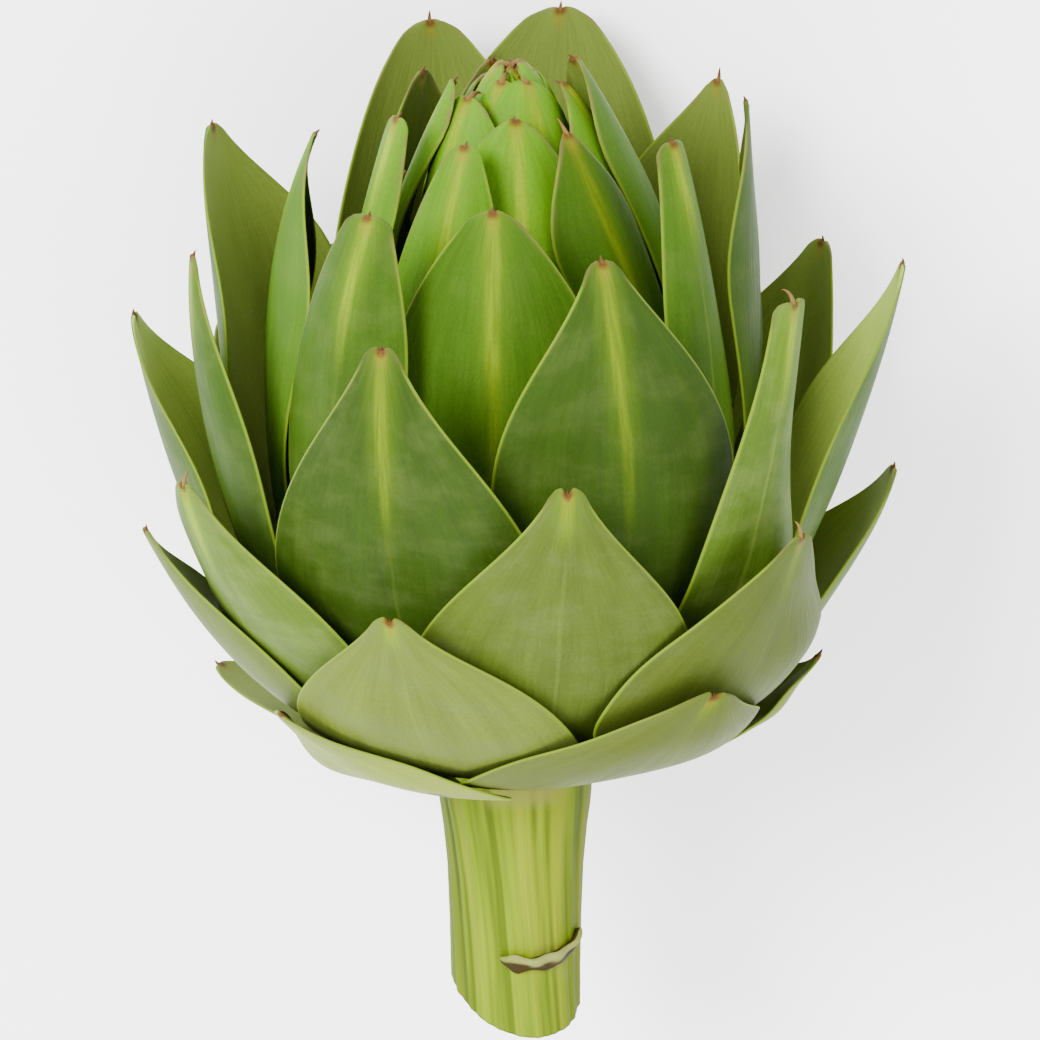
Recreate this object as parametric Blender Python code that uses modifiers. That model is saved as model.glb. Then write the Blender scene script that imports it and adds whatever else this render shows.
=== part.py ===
"""A globe artichoke with a short cut stem, lying on its side, apex towards +Y.

The head is grown upright, with its axis on Z and the junction of head and stem at the
origin, and an empty then lays it on the table. The bracts follow one spiral: each new
rank stands a golden angle round from the last, and sits further up and further in.
Lengths in the named values are millimetres, and angles are degrees.
"""

import math

import bmesh
import bpy
import numpy as np
from mathutils import Vector
from mathutils.bvhtree import BVHTree

MM = 0.001

# The spiral
GOLDEN_ANGLE = 137.508
FIRST_AZIMUTH = -24.0  # of rank 0, from the front, towards +X
FIRST_RANK = -8  # the outermost bract
FIRST_BUD_RANK = 40  # from here inwards the bracts are fused into one bud
LAST_RANK = 52

# How a bract changes from the outermost rank to the innermost. The midrib runs in a
# plane through the axis, from base to tip, drawn by the belly and shoulder handles. The
# widest place is given in half widths.
STAGES = (
    # rank, base rho z, belly rho z, shoulder rho z, tip rho z, half width, widest from tip
    (-8, 13.4, 2.0, 15, 0.6, 17, 0.2, 18.5, 0.2, 5, 1.3),
    (-5, 14.7, 3.6, 27, 3.6, 41, 9, 50, 16, 20, 1.3),
    (0, 17, 4.7, 34.5, 7.5, 49, 23, 59, 42, 23, 1.3),
    (5, 19.5, 6.0, 37, 10, 54, 31, 61, 57, 24, 1.6),
    (8, 21, 6.9, 38, 11.5, 55.5, 37, 61.5, 63, 24, 1.7),
    (12, 23.2, 7.9, 40.5, 12.3, 56.5, 48, 60.5, 78, 24, 1.9),
    (16, 25.3, 9.4, 40.5, 16, 53, 60, 57, 90, 23.5, 1.95),
    (20, 27.3, 11.2, 39.5, 19.4, 46.5, 70, 48, 99, 22, 2.0),
    (26, 29.7, 15, 36.5, 26, 35, 79, 34, 103, 18.5, 1.95),
    (32, 30.7, 19.5, 33, 32, 27, 86.5, 19.5, 107.5, 15, 1.95),
    (39, 25.4, 25.7, 28, 37, 20.5, 91, 11.5, 109, 11, 1.9),
    (40, 10, 32, 22, 44, 18, 98, 6, 109.5, 12, 1.3),
    (52, 7, 44, 10.5, 54, 8, 101, 1.2, 112.2, 6, 1.3),
)

# Bracts that stray from the rule: degrees turned round the axis, radius and height of the
# tip or of the shoulder handle, swing (degrees that the tip drifts round), fold (how much
# the margins rise inwards), wide (times the usual width), reach (from the tip to the
# widest place), taper and blunt (half width of the tip, as a share of the widest).
HABITS = {
    -8: dict(turn=-7, wide=0.6),
    -6: dict(turn=3, tip=(47.5, 17.5), wide=0.55),
    -5: dict(turn=17, swing=-9, tip=(47.5, 17.5), wide=1.1, reach=21),
    -4: dict(turn=14, tip=(54.8, 22.5), shoulder=(57.8, 11)),
    -3: dict(turn=1, swing=6, tip=(52.3, 25.3), wide=1.25, reach=25),
    -2: dict(turn=2, tip=(50, 7)),
    -1: dict(turn=0, tip=(51, 29)),
    0: dict(turn=5.5, tip=(59, 42), fold=0.5, reach=33, taper=1.35),
    1: dict(turn=0, tip=(56.1, 44), shoulder=(59.4, 24.5)),
    2: dict(turn=-13, tip=(58.5, 49), fold=0.9),
    3: dict(turn=3.5, tip=(60, 42)),
    4: dict(turn=10, tip=(58, 53), shoulder=(60.8, 32)),
    5: dict(turn=-1, tip=(60.5, 64), fold=0.4, wide=0.96, reach=41, taper=1.4),
    7: dict(turn=1, tip=(60.7, 44.5), fold=1.1),
    8: dict(turn=-11, tip=(61.5, 56), fold=0.9),
    9: dict(turn=0, tip=(53.8, 68), shoulder=(56.4, 46)),
    10: dict(turn=7, tip=(56.5, 86), fold=1.4, wide=0.5, reach=70, taper=1.7, blunt=0.3),
    11: dict(turn=0, tip=(61, 69.5), fold=1.0, reach=34),
    12: dict(turn=3, swing=-5, tip=(60.5, 73.5), fold=1.1),
    13: dict(turn=-11, swing=3, tip=(58.5, 84.3), fold=0.5, reach=48, taper=1.35),
    14: dict(turn=0, tip=(58, 68)),
    15: dict(turn=17, tip=(61, 80), fold=0.8),
    16: dict(turn=-9, swing=2, tip=(52.5, 86.7), shoulder=(54, 60), fold=1.1, wide=0.65, reach=50),
    17: dict(turn=20, swing=-7.6, tip=(46, 109.5), taper=0.72),
    18: dict(turn=5, swing=-11, tip=(50, 95.6), fold=0.5, wide=0.92, taper=1.3),
    19: dict(turn=4, tip=(52.5, 97), fold=0.7, reach=32),
    20: dict(turn=-12.5, tip=(36.3, 106), shoulder=(39.3, 73), wide=0.66, blunt=0.15),
    21: dict(turn=-17, swing=19, tip=(44, 99.5), fold=0.8, wide=0.55, reach=34, blunt=0.3, taper=1),
    22: dict(turn=8.5, tip=(42, 109), taper=0.75),
    23: dict(turn=8, swing=-10, tip=(31, 105.5), shoulder=(38.5, 76), fold=1.1, wide=0.42, reach=45, blunt=0.4),
    24: dict(turn=-6, tip=(31.7, 101.5), shoulder=(46, 72), fold=0.8, wide=0.85),
    25: dict(turn=-2, tip=(47.5, 100.5), fold=0.9, wide=0.82, reach=27),
    26: dict(turn=-6, tip=(36, 99.5), fold=0.5, taper=0.85),
    27: dict(turn=-6, swing=5, tip=(22, 107), fold=0.5),
    28: dict(turn=6, swing=15, tip=(8.5, 112), shoulder=(22.5, 92), fold=0.6, wide=0.5, taper=0.8),
    29: dict(turn=-26, swing=22, tip=(22, 107.5), fold=0.8, wide=0.33, reach=20, blunt=0.45, taper=1),
    30: dict(turn=0, tip=(22, 102.5)),
    31: dict(turn=38, swing=-45, tip=(18, 106), wide=0.64, reach=22),
    32: dict(turn=0, tip=(16, 93)),
    33: dict(turn=0, tip=(15, 90), wide=0.8),
    34: dict(turn=-14, swing=13, tip=(22, 105.3), wide=0.78, reach=32, taper=1, blunt=0.2),
    35: dict(turn=-8, tip=(14, 109.8)),
    36: dict(turn=24, swing=-12, tip=(8.2, 110.3), shoulder=(23, 98), wide=0.9),
    37: dict(turn=-40, swing=44, tip=(9.5, 110.5), wide=0.4, blunt=0.45),
    38: dict(turn=0, tip=(12, 103)),
    39: dict(turn=-4, swing=-9, tip=(13.5, 107.3), wide=0.9, reach=15, taper=0.85),
    41: dict(tip=(1.3, 113), shoulder=(15.5, 101)),
    42: dict(turn=-6, tip=(10.7, 109.3), shoulder=(19.5, 100)),
    44: dict(turn=-4, swing=-22, tip=(5.5, 111.2), shoulder=(16.5, 101)),
    45: dict(tip=(2.6, 112.7), shoulder=(15, 101)),
    47: dict(turn=-10, swing=-7, tip=(5.5, 111.2), shoulder=(13, 101)),
}

# A bract's blade
BASE_WIDTH = 0.345  # half width at the base, as a share of the base's radius
TIP_SHARE = 0.1  # half width of the blunt tip, as a share of the widest
TAPER = 1.2  # 1 swells straight from the tip, more makes it slender
TIP_REACH = 1.5  # how far the blade goes on past its tip handle
BUD_TIP_SHARE = 0.25
CAP_LENGTH = 2.2
SPINE_LENGTH = 0.7
BUD_SPINE_LENGTH = 0.4
FOLD = 0.7
TURNED_BY = 0.5  # share of a blade's length over which it takes up its turn
LENGTH_STEPS = 8
WIDTH_STEPS = 4
BLADE_THICKNESS = 1.05
BUD_BLADE_THICKNESS = 1.25
MARGIN_SHARE = 0.56  # thickness at the margin, as a share of the blade's

# How the bracts are pressed outwards by the ones within them
CLEARANCE = 0.35
FEEL_REACH = 12.0
FEEL_DEPTH = 9.0
FEEL_STEPS = 9  # feeler points for each step of the blade's grid
SPREAD_ROUNDS = 2
PRESS_ROUNDS = 3
LEAST_SQUARE = 0.7  # how far off square a blade may stand to its way out, as a cosine
UNION_SOLVER = "MANIFOLD"

# Stem and the wide disc inside the head that the bracts grow from: radius and height
STEM_PROFILE = (
    (0, 27.4),
    (14, 27.1),
    (24, 25.3),
    (27.8, 22.8),
    (29.2, 19.6),
    (28.4, 16.4),
    (26.2, 13.2),
    (23.0, 10.1),
    (19.2, 7.2),
    (15.2, 4.6),
    (13.3, 2.4),
    (12.9, -2),
    (12.4, -8),
    (11.6, -14),
    (11.0, -21),
    (10.7, -30),
    (10.6, -40),
    (10.8, -52),
    (0, -52),
)
STEM_SIDES = 36
STEM_RIBS = 9
RIB_RELIEF = 0.25
RIBS_BELOW = -4  # height under which the stem is ribbed
RIB_DRIFT = 1.2  # degrees that a rib drifts round for each millimetre down
CUT_HEIGHT = -42.3  # of the knife's cut on the stem's axis
CUT_TILT = (25, 16)  # degrees about X and about Y
SCAR_PLACE = (30, -33.5)  # of the torn leaf's scar: azimuth and height
SCAR_OUT = 10.0  # from the stem's axis
SCAR_SIZE = (7.0, 3.0, 2.4)  # half its width, depth and height
SCAR_LEAN = 12
KNIFE_SIZE = 60

# The heart of the bud, which its blades grow from: radius and height
BUD_CORE = ((0, 110), (3, 108), (7.5, 101.5), (9.8, 91), (11, 76), (12, 58), (12.5, 42), (12, 30), (10, 28), (0, 28))
BUD_CORE_SIDES = 14

# How the head lies: the table touches the bracts of these ranks, pressed a little flat
RESTING_RANKS = (-4, 1, 4, 9)
TABLE_BEHIND_AXIS = 54.7  # from the head's axis to the table
HEAD_PLACE = (-0.22, -33.31, TABLE_BEHIND_AXIS)  # of the head and stem's junction
TABLE_SIZE = 300

# Colours: each bract's lies between those of the outermost and the innermost rank
OUTER_GREEN = (0.27, 0.36, 0.13)
INNER_GREEN = (0.30, 0.47, 0.09)
STEM_GREEN = (0.47, 0.54, 0.22)
BRACT_ROUGHNESS = 0.55
STEM_ROUGHNESS = 0.65


def clear_scene():
    for thing in list(bpy.data.objects):
        bpy.data.objects.remove(thing, do_unlink=True)


def finish(thing, colour, roughness):
    """Gives an object its own plain material and smooth shading."""
    material = bpy.data.materials.new(thing.name)
    material.use_nodes = True
    shader = material.node_tree.nodes["Principled BSDF"]
    shader.inputs["Base Color"].default_value = (*colour, 1)
    shader.inputs["Roughness"].default_value = roughness
    shader.inputs["Metallic"].default_value = 0
    thing.data.materials.clear()
    thing.data.materials.append(material)
    thing.data.shade_smooth()


def bract_name(rank):
    return f"bract_{rank - FIRST_RANK + 1:02d}"


def bract_green(rank):
    share = (rank - FIRST_RANK) / (LAST_RANK - FIRST_RANK)
    return tuple(a + (b - a) * share for a, b in zip(OUTER_GREEN, INNER_GREEN))


def smoothstep(x):
    x = np.clip(x, 0, 1)
    return x * x * (3 - 2 * x)


def stage(column, rank):
    """A growth value at this rank, straight between the stages on either side."""
    table = np.array(STAGES, float)
    return np.interp(rank, table[:, 0], table[:, column])


class Bract:
    """One bract's blade, as a surface over s (0 base to 1 tip) and t (-1 to 1 across)."""

    def __init__(self, rank):
        habit = HABITS.get(rank, {})
        self.rank = rank
        self.azimuth = FIRST_AZIMUTH - GOLDEN_ANGLE * rank
        self.turn = habit.get("turn", 0)
        self.swing = habit.get("swing", 0)
        self.fold = habit.get("fold", FOLD)
        base = np.array([stage(1, rank), stage(2, rank)])
        belly = np.array([stage(3, rank), stage(4, rank)])
        shoulder = np.array([stage(5, rank), stage(6, rank)])
        usual_tip = np.array([stage(7, rank), stage(8, rank)])
        tip = np.array(habit.get("tip", usual_tip))
        shoulder = np.array(habit.get("shoulder", shoulder + 0.6 * (tip - usual_tip)))
        tip = tip + (tip - shoulder) / np.linalg.norm(tip - shoulder) * TIP_REACH
        self.handles = (base, belly, shoulder, tip)
        self.half_width = stage(9, rank) * habit.get("wide", 1)
        self.base_half_width = min(0.6 * self.half_width, BASE_WIDTH * base[0])
        along = np.linspace(0, 1, 101)
        steps = np.linalg.norm(np.diff(self.midrib(along), axis=0), axis=1)
        run = np.concatenate([[0], np.cumsum(steps)])
        self.length = run[-1]
        self.by_length = (run / run[-1], along)
        self.widest = min(habit.get("reach", stage(10, rank) * self.half_width), 0.8 * self.length)
        self.taper = habit.get("taper", TAPER)
        in_bud = rank >= FIRST_BUD_RANK
        self.thickness = BUD_BLADE_THICKNESS if in_bud else BLADE_THICKNESS
        self.tip_share = habit.get("blunt", BUD_TIP_SHARE if in_bud else TIP_SHARE)
        self.spine = BUD_SPINE_LENGTH if in_bud else SPINE_LENGTH

    def midrib(self, u):
        """Radius and height of the midrib, a cubic curve through the handles."""
        a, b, c, d = self.handles
        u = np.asarray(u)[..., None]
        v = 1 - u
        return v**3 * a + 3 * v * v * u * b + 3 * v * u * u * c + u**3 * d

    def direction(self, u):
        """Unit direction of the midrib, towards the tip."""
        a, b, c, d = self.handles
        u = np.asarray(u)[..., None]
        v = 1 - u
        run = v * v * (b - a) + 2 * v * u * (c - b) + u * u * (d - c)
        return run / np.linalg.norm(run, axis=-1, keepdims=True)

    def half_width_at(self, s):
        from_tip = self.length * (1 - s)
        swell = np.sin(np.clip(from_tip / self.widest, 0, 1) * math.pi / 2) ** self.taper
        upper = self.tip_share + (1 - self.tip_share) * swell
        base_share = self.base_half_width / self.half_width
        down = (from_tip - self.widest) / (self.length - self.widest)
        lower = 1 - (1 - base_share) * smoothstep(down)
        return self.half_width * np.where(from_tip < self.widest, upper, lower)

    def rounded_tip(self, s, t):
        """Bends the straight end of the strip into a blunt round cap."""
        start = 1 - CAP_LENGTH / self.length
        past = np.clip((s - start) / (1 - start), 0, 1)
        across = t * np.sqrt(1 - past * past / 2)
        past = past * np.sqrt(1 - t * t / 2)
        return np.where(s > start, start + past * (1 - start), s), across

    def surface(self, s, t):
        """Points of the blade's middle surface, and the outward directions there."""
        s, t = self.rounded_tip(s, t)
        across = t * self.half_width_at(s)
        u = np.interp(s, *self.by_length)
        centre = self.midrib(u)
        along = self.direction(u)
        inward = np.stack([-along[..., 1], along[..., 0]], -1)
        free = smoothstep((s - 0.4) / 0.6)
        bend = self.fold * free / max(self.half_width, 8) + 1e-6
        side = np.sin(bend * across) / bend
        rise = (1 - np.cos(bend * across)) / bend
        hoop = np.maximum(centre[..., 0], 10)
        radial = centre[..., 0] - hoop * (1 - np.cos(side / hoop)) + inward[..., 0] * rise
        sideways = hoop * np.sin(side / hoop)
        height = centre[..., 1] + inward[..., 1] * rise
        turned = self.azimuth + self.turn * smoothstep(s / TURNED_BY) + self.swing * s * s
        turned = np.radians(turned)
        sin, cos = np.sin(turned), np.cos(turned)
        x = radial * sin + sideways * cos
        y = -radial * cos + sideways * sin
        around = np.arctan2(x, -y)
        out = np.stack(
            [-inward[..., 0] * np.sin(around), inward[..., 0] * np.cos(around), -inward[..., 1]], -1
        )
        return np.stack([x, y, height], -1), out


def blade_grid(bract):
    """The blade's points and outward directions on its coarse grid, spine included."""
    rows = np.linspace(0, 1, LENGTH_STEPS + 1)
    columns = np.linspace(-1, 1, WIDTH_STEPS + 1)
    points, out = bract.surface(*np.meshgrid(rows, columns, indexing="ij"))
    middle = WIDTH_STEPS // 2
    last = points[-1, middle] - points[-2, middle]
    points[-1, middle] += last / np.linalg.norm(last) * bract.spine
    return points, out


def finer(grid):
    """The grid's values at feeler points, straight between its own."""
    for axis in (0, 1):
        steps = grid.shape[axis] - 1
        where = np.linspace(0, steps, steps * FEEL_STEPS + 1)
        low = np.minimum(where.astype(int), steps - 1)
        share = (where - low).reshape((-1, 1, 1) if axis == 0 else (1, -1, 1))
        grid = np.take(grid, low, axis) * (1 - share) + np.take(grid, low + 1, axis) * share
    return grid


def feel(points, out, thickness, tree):
    """How far each grid point must move outwards to clear what lies inside the blade."""
    feelers, ways = finer(points), finer(out)
    ways /= np.linalg.norm(ways, axis=-1, keepdims=True)
    facing = np.cross(np.gradient(feelers, axis=0), np.gradient(feelers, axis=1))
    facing /= np.linalg.norm(facing, axis=-1, keepdims=True) + 1e-9
    square = np.maximum(np.abs((facing * ways).sum(-1)), LEAST_SQUARE)
    wanted = (thickness / 2 + CLEARANCE) / square
    push = np.zeros(wanted.shape)
    for i, j in np.ndindex(push.shape):
        way = Vector(ways[i, j])
        start = Vector(feelers[i, j]) + way * FEEL_REACH
        place, normal, _, run = tree.ray_cast(start, -way, FEEL_REACH + FEEL_DEPTH)
        if place is not None and normal.dot(way) > 0:
            push[i, j] = max(0, FEEL_REACH - run + wanted[i, j])
    grid = np.zeros(points.shape[:2])
    for i, j in np.ndindex(grid.shape):
        near_rows = slice(max(0, (i - 1) * FEEL_STEPS + 1), (i + 1) * FEEL_STEPS)
        near_columns = slice(max(0, (j - 1) * FEEL_STEPS + 1), (j + 1) * FEEL_STEPS)
        grid[i, j] = push[near_rows, near_columns].max()
    return grid


def spread(grid):
    """Eases the push into the points around it, never lowering it anywhere."""
    for _ in range(SPREAD_ROUNDS):
        edged = np.pad(grid, 1, mode="edge")
        around = (edged[:-2, 1:-1] + edged[2:, 1:-1] + edged[1:-1, :-2] + edged[1:-1, 2:]) / 4
        grid = np.maximum(grid, around)
    return grid


def pressed_out(bract, tree):
    """The blade's grid, pressed outwards until it clears everything inside it."""
    points, out = blade_grid(bract)
    for _ in range(PRESS_ROUNDS):
        push = spread(feel(points, out, bract.thickness, tree))
        points = points + out * push[..., None]
    return points


def blade_object(name, bract, points):
    """The blade as a grid bent to its points, given thickness by Solidify."""
    mesh = bpy.data.meshes.new(name)
    bm = bmesh.new()
    bmesh.ops.create_grid(bm, x_segments=LENGTH_STEPS, y_segments=WIDTH_STEPS, size=1)
    for vert in bm.verts:
        row = round((vert.co.x + 1) / 2 * LENGTH_STEPS)
        column = round((vert.co.y + 1) / 2 * WIDTH_STEPS)
        vert.co = Vector(points[row, column] * MM)
    bmesh.ops.triangulate(bm, faces=bm.faces)
    bm.verts.index_update()
    margin = [vert.index for vert in bm.verts if vert.is_boundary]
    bm.to_mesh(mesh)
    bm.free()
    blade = bpy.data.objects.new(name, mesh)
    group = blade.vertex_groups.new(name="thickness")
    group.add(range(len(mesh.vertices)), 1.0, "REPLACE")
    group.add(margin, MARGIN_SHARE, "REPLACE")
    solidify = blade.modifiers.new("thickness", "SOLIDIFY")
    solidify.thickness = bract.thickness * MM
    solidify.offset = 0
    solidify.vertex_group = "thickness"
    return blade


def turned_object(name, profile, sides):
    """A solid turned about Z from its profile of radius and height, top to bottom."""
    mesh = bpy.data.meshes.new(name)
    bm = bmesh.new()
    points = [bm.verts.new((radius * MM, 0, height * MM)) for radius, height in profile]
    edges = [bm.edges.new(pair) for pair in zip(points, points[1:])]
    bmesh.ops.spin(
        bm, geom=points + edges, cent=(0, 0, 0), axis=(0, 0, 1), angle=math.tau, steps=sides
    )
    bmesh.ops.remove_doubles(bm, verts=bm.verts, dist=0.01 * MM)
    bmesh.ops.recalc_face_normals(bm, faces=bm.faces)
    bm.to_mesh(mesh)
    bm.free()
    return bpy.data.objects.new(name, mesh)


def ribbed(stem):
    """Raises the long ribs of the stem, which drift a little round it."""
    for vert in stem.data.vertices:
        x, y, z = vert.co / MM
        if z > RIBS_BELOW:
            continue
        around = math.atan2(x, -y) + math.radians(RIB_DRIFT) * z
        depth = min(1, (RIBS_BELOW - z) / 6)
        grow = 1 + depth * RIB_RELIEF * math.cos(STEM_RIBS * around) / math.hypot(x, y) if x or y else 1
        vert.co.x *= grow
        vert.co.y *= grow


def scar_object():
    """The torn edge that a leaf left on the stem."""
    azimuth, height = SCAR_PLACE
    around = math.radians(azimuth)
    mesh = bpy.data.meshes.new("scar")
    bm = bmesh.new()
    bmesh.ops.create_uvsphere(bm, u_segments=12, v_segments=8, radius=MM)
    bm.to_mesh(mesh)
    bm.free()
    scar = bpy.data.objects.new("scar", mesh)
    scar.scale = SCAR_SIZE
    scar.rotation_euler = (math.radians(-SCAR_LEAN), 0, around)
    scar.location = Vector((SCAR_OUT * math.sin(around), -SCAR_OUT * math.cos(around), height)) * MM
    return scar


def cutter_box(name, size, cutters):
    """A wire box that only cuts, its top face at its own origin."""
    mesh = bpy.data.meshes.new(name)
    bm = bmesh.new()
    bmesh.ops.create_cube(bm, size=size * MM)
    bmesh.ops.translate(bm, verts=bm.verts, vec=(0, 0, -size / 2 * MM))
    bm.to_mesh(mesh)
    bm.free()
    box = bpy.data.objects.new(name, mesh)
    box.hide_render = True
    box.display_type = "WIRE"
    cutters.objects.link(box)
    return box


def cut_away(thing, cutter):
    cut = thing.modifiers.new(cutter.name, "BOOLEAN")
    cut.operation = "DIFFERENCE"
    cut.object = cutter
    cut.solver = "EXACT"


def stem_object(collection, cutters):
    """The stem and the disc of the head in one, cut slantwise, with a leaf's scar."""
    stem = turned_object("stem", STEM_PROFILE, STEM_SIDES)
    ribbed(stem)
    collection.objects.link(stem)
    scar = scar_object()
    collection.objects.link(scar)
    fuse(stem, [scar], collection)
    knife = cutter_box("knife", KNIFE_SIZE, cutters)
    knife.location = (0, 0, CUT_HEIGHT * MM)
    knife.rotation_euler = [math.radians(angle) for angle in (*CUT_TILT, 0)]
    cut_away(stem, knife)
    finish(stem, STEM_GREEN, STEM_ROUGHNESS)
    return stem


def fuse(thing, others, collection):
    """Joins the other objects to this one, applies the union and removes them."""
    loose = bpy.data.collections.new("loose")
    bpy.context.scene.collection.children.link(loose)
    for other in others:
        collection.objects.unlink(other)
        loose.objects.link(other)
    union = thing.modifiers.new("union", "BOOLEAN")
    union.operation = "UNION"
    union.operand_type = "COLLECTION"
    union.collection = loose
    union.solver = UNION_SOLVER
    bpy.context.view_layer.update()
    graph = bpy.context.evaluated_depsgraph_get()
    mesh = bpy.data.meshes.new_from_object(thing.evaluated_get(graph))
    thing.modifiers.clear()
    thing.data = mesh
    for other in others:
        bpy.data.objects.remove(other, do_unlink=True)
    bpy.data.collections.remove(loose)


def surface_of(thing):
    """The evaluated surface of an object, in millimetres, as points and faces."""
    graph = bpy.context.evaluated_depsgraph_get()
    evaluated = thing.evaluated_get(graph)
    mesh = evaluated.to_mesh()
    points = [Vector(v.co) / MM for v in mesh.vertices]
    faces = [tuple(p.vertices) for p in mesh.polygons]
    evaluated.to_mesh_clear()
    return points, faces


class Obstacles:
    """The surfaces placed so far, which the next bract further out must clear."""

    def __init__(self):
        self.points, self.faces = [], []

    def add(self, thing):
        bpy.context.view_layer.update()
        points, faces = surface_of(thing)
        shift = len(self.points)
        self.points += points
        self.faces += [tuple(i + shift for i in face) for face in faces]

    def tree(self):
        return BVHTree.FromPolygons(self.points, self.faces)


def bract_object(rank, obstacles, collection):
    """One bract: in the bud it keeps its own curve, further out it clears the obstacles."""
    bract = Bract(rank)
    points = pressed_out(bract, obstacles.tree()) if obstacles else blade_grid(bract)[0]
    blade = blade_object(bract_name(rank), bract, points)
    collection.objects.link(blade)
    finish(blade, bract_green(rank), BRACT_ROUGHNESS)
    if obstacles:
        obstacles.add(blade)
    return blade


def fill_pockets(thing):
    """Fills the closed pockets left inside an object, so that only its outer skin is left."""
    bm = bmesh.new()
    bm.from_mesh(thing.data)
    left = set(bm.verts)
    skins = []
    while left:
        found = [left.pop()]
        skin = []
        while found:
            vert = found.pop()
            skin.append(vert)
            beside = {edge.other_vert(vert) for edge in vert.link_edges} & left
            left -= beside
            found.extend(beside)
        skins.append(skin)
    outer = max(skins, key=len)
    pockets = [vert for skin in skins if skin is not outer for vert in skin]
    bmesh.ops.delete(bm, geom=pockets, context="VERTS")
    bm.to_mesh(thing.data)
    bm.free()


def bud_object(collection):
    """The innermost bracts, fused to the heart that they grow from."""
    bud = turned_object("inner_bud", BUD_CORE, BUD_CORE_SIDES)
    collection.objects.link(bud)
    blades = [bract_object(rank, None, collection) for rank in range(FIRST_BUD_RANK, LAST_RANK + 1)]
    fuse(bud, blades, collection)
    fill_pockets(bud)
    finish(bud, INNER_GREEN, BRACT_ROUGHNESS)
    return bud


def lie_down(collection, cutters):
    """Turns everything to lie on its back, and presses flat what rests on the table."""
    laid = bpy.data.objects.new("laid_head", None)
    laid.rotation_euler = (math.radians(-90), 0, 0)
    laid.location = Vector(HEAD_PLACE) * MM
    table = cutter_box("table", TABLE_SIZE, cutters)
    for thing in (*collection.objects, *cutters.objects):
        if thing != table:
            thing.parent = laid
    collection.objects.link(laid)
    for rank in RESTING_RANKS:
        cut_away(bpy.data.objects[bract_name(rank)], table)


def main():
    clear_scene()
    collection = bpy.data.collections.new("artichoke")
    cutters = bpy.data.collections.new("cutters")
    for made in (collection, cutters):
        bpy.context.scene.collection.children.link(made)
    stem = stem_object(collection, cutters)
    bud = bud_object(collection)
    obstacles = Obstacles()
    obstacles.add(stem)
    obstacles.add(bud)
    for rank in range(FIRST_BUD_RANK - 1, FIRST_RANK - 1, -1):
        bract_object(rank, obstacles, collection)
    lie_down(collection, cutters)


main()
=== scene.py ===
"""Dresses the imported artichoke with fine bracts, a ribbed stem and their finishes.

The head is worked out upright, in millimetres, with its axis on Z and the junction of
head and stem at the origin, and then laid on its back as the solids lie.
"""

from __future__ import annotations

import logging
import math
from dataclasses import dataclass, field
from enum import Enum

import bpy
import numpy as np
from mathutils import Matrix, Vector
from mathutils.bvhtree import BVHTree


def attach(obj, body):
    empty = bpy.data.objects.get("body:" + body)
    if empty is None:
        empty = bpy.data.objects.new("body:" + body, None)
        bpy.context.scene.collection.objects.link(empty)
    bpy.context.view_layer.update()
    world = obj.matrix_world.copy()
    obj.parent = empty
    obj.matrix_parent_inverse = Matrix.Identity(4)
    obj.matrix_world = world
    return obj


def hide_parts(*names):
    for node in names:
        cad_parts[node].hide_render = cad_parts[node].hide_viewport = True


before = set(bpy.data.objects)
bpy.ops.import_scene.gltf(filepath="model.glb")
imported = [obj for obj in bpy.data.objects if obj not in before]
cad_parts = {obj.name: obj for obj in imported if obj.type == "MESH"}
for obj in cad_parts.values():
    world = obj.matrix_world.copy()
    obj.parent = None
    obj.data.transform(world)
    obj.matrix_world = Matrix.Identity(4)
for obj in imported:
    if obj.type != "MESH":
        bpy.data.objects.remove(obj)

LOG = logging.getLogger("artichoke")
MM = 0.001
ROOT_BODY = "root"

# Where the head lies
HEAD_PLACE = (-0.22, -33.31, 54.7)  # of the junction of head and stem
TABLE_GAP = 0.02

# The spiral that the bracts follow
GOLDEN_ANGLE = 137.508
FIRST_AZIMUTH = -24.0  # of rank 0, from the front, towards +X
FIRST_RANK = -8  # the outermost bract
FIRST_BUD_RANK = 40
LAST_RANK = 52

# How a bract changes from the outermost rank to the innermost
STAGES = (
    # rank, base rho z, belly rho z, shoulder rho z, tip rho z, half width, widest from tip
    (-8, 13.4, 2.0, 15, 0.6, 17, 0.2, 18.5, 0.2, 5, 1.3),
    (-5, 14.7, 3.6, 27, 3.6, 41, 9, 50, 16, 20, 1.3),
    (0, 17, 4.7, 34.5, 7.5, 49, 23, 59, 42, 23, 1.3),
    (5, 19.5, 6.0, 37, 10, 54, 31, 61, 57, 24, 1.6),
    (8, 21, 6.9, 38, 11.5, 55.5, 37, 61.5, 63, 24, 1.7),
    (12, 23.2, 7.9, 40.5, 12.3, 56.5, 48, 60.5, 78, 24, 1.9),
    (16, 25.3, 9.4, 40.5, 16, 53, 60, 57, 90, 23.5, 1.95),
    (20, 27.3, 11.2, 39.5, 19.4, 46.5, 70, 48, 99, 22, 2.0),
    (26, 29.7, 15, 36.5, 26, 35, 79, 34, 103, 18.5, 1.95),
    (32, 30.7, 19.5, 33, 32, 27, 86.5, 19.5, 107.5, 15, 1.95),
    (39, 25.4, 25.7, 28, 37, 20.5, 91, 11.5, 109, 11, 1.9),
    (40, 10, 32, 22, 44, 18, 98, 6, 109.5, 12, 1.3),
    (52, 7, 44, 10.5, 54, 8, 101, 1.2, 112.2, 6, 1.3),
)


class Side(Enum):
    """The two faces of a bract."""

    OUTER = 0.0
    INNER = 1.0


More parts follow.
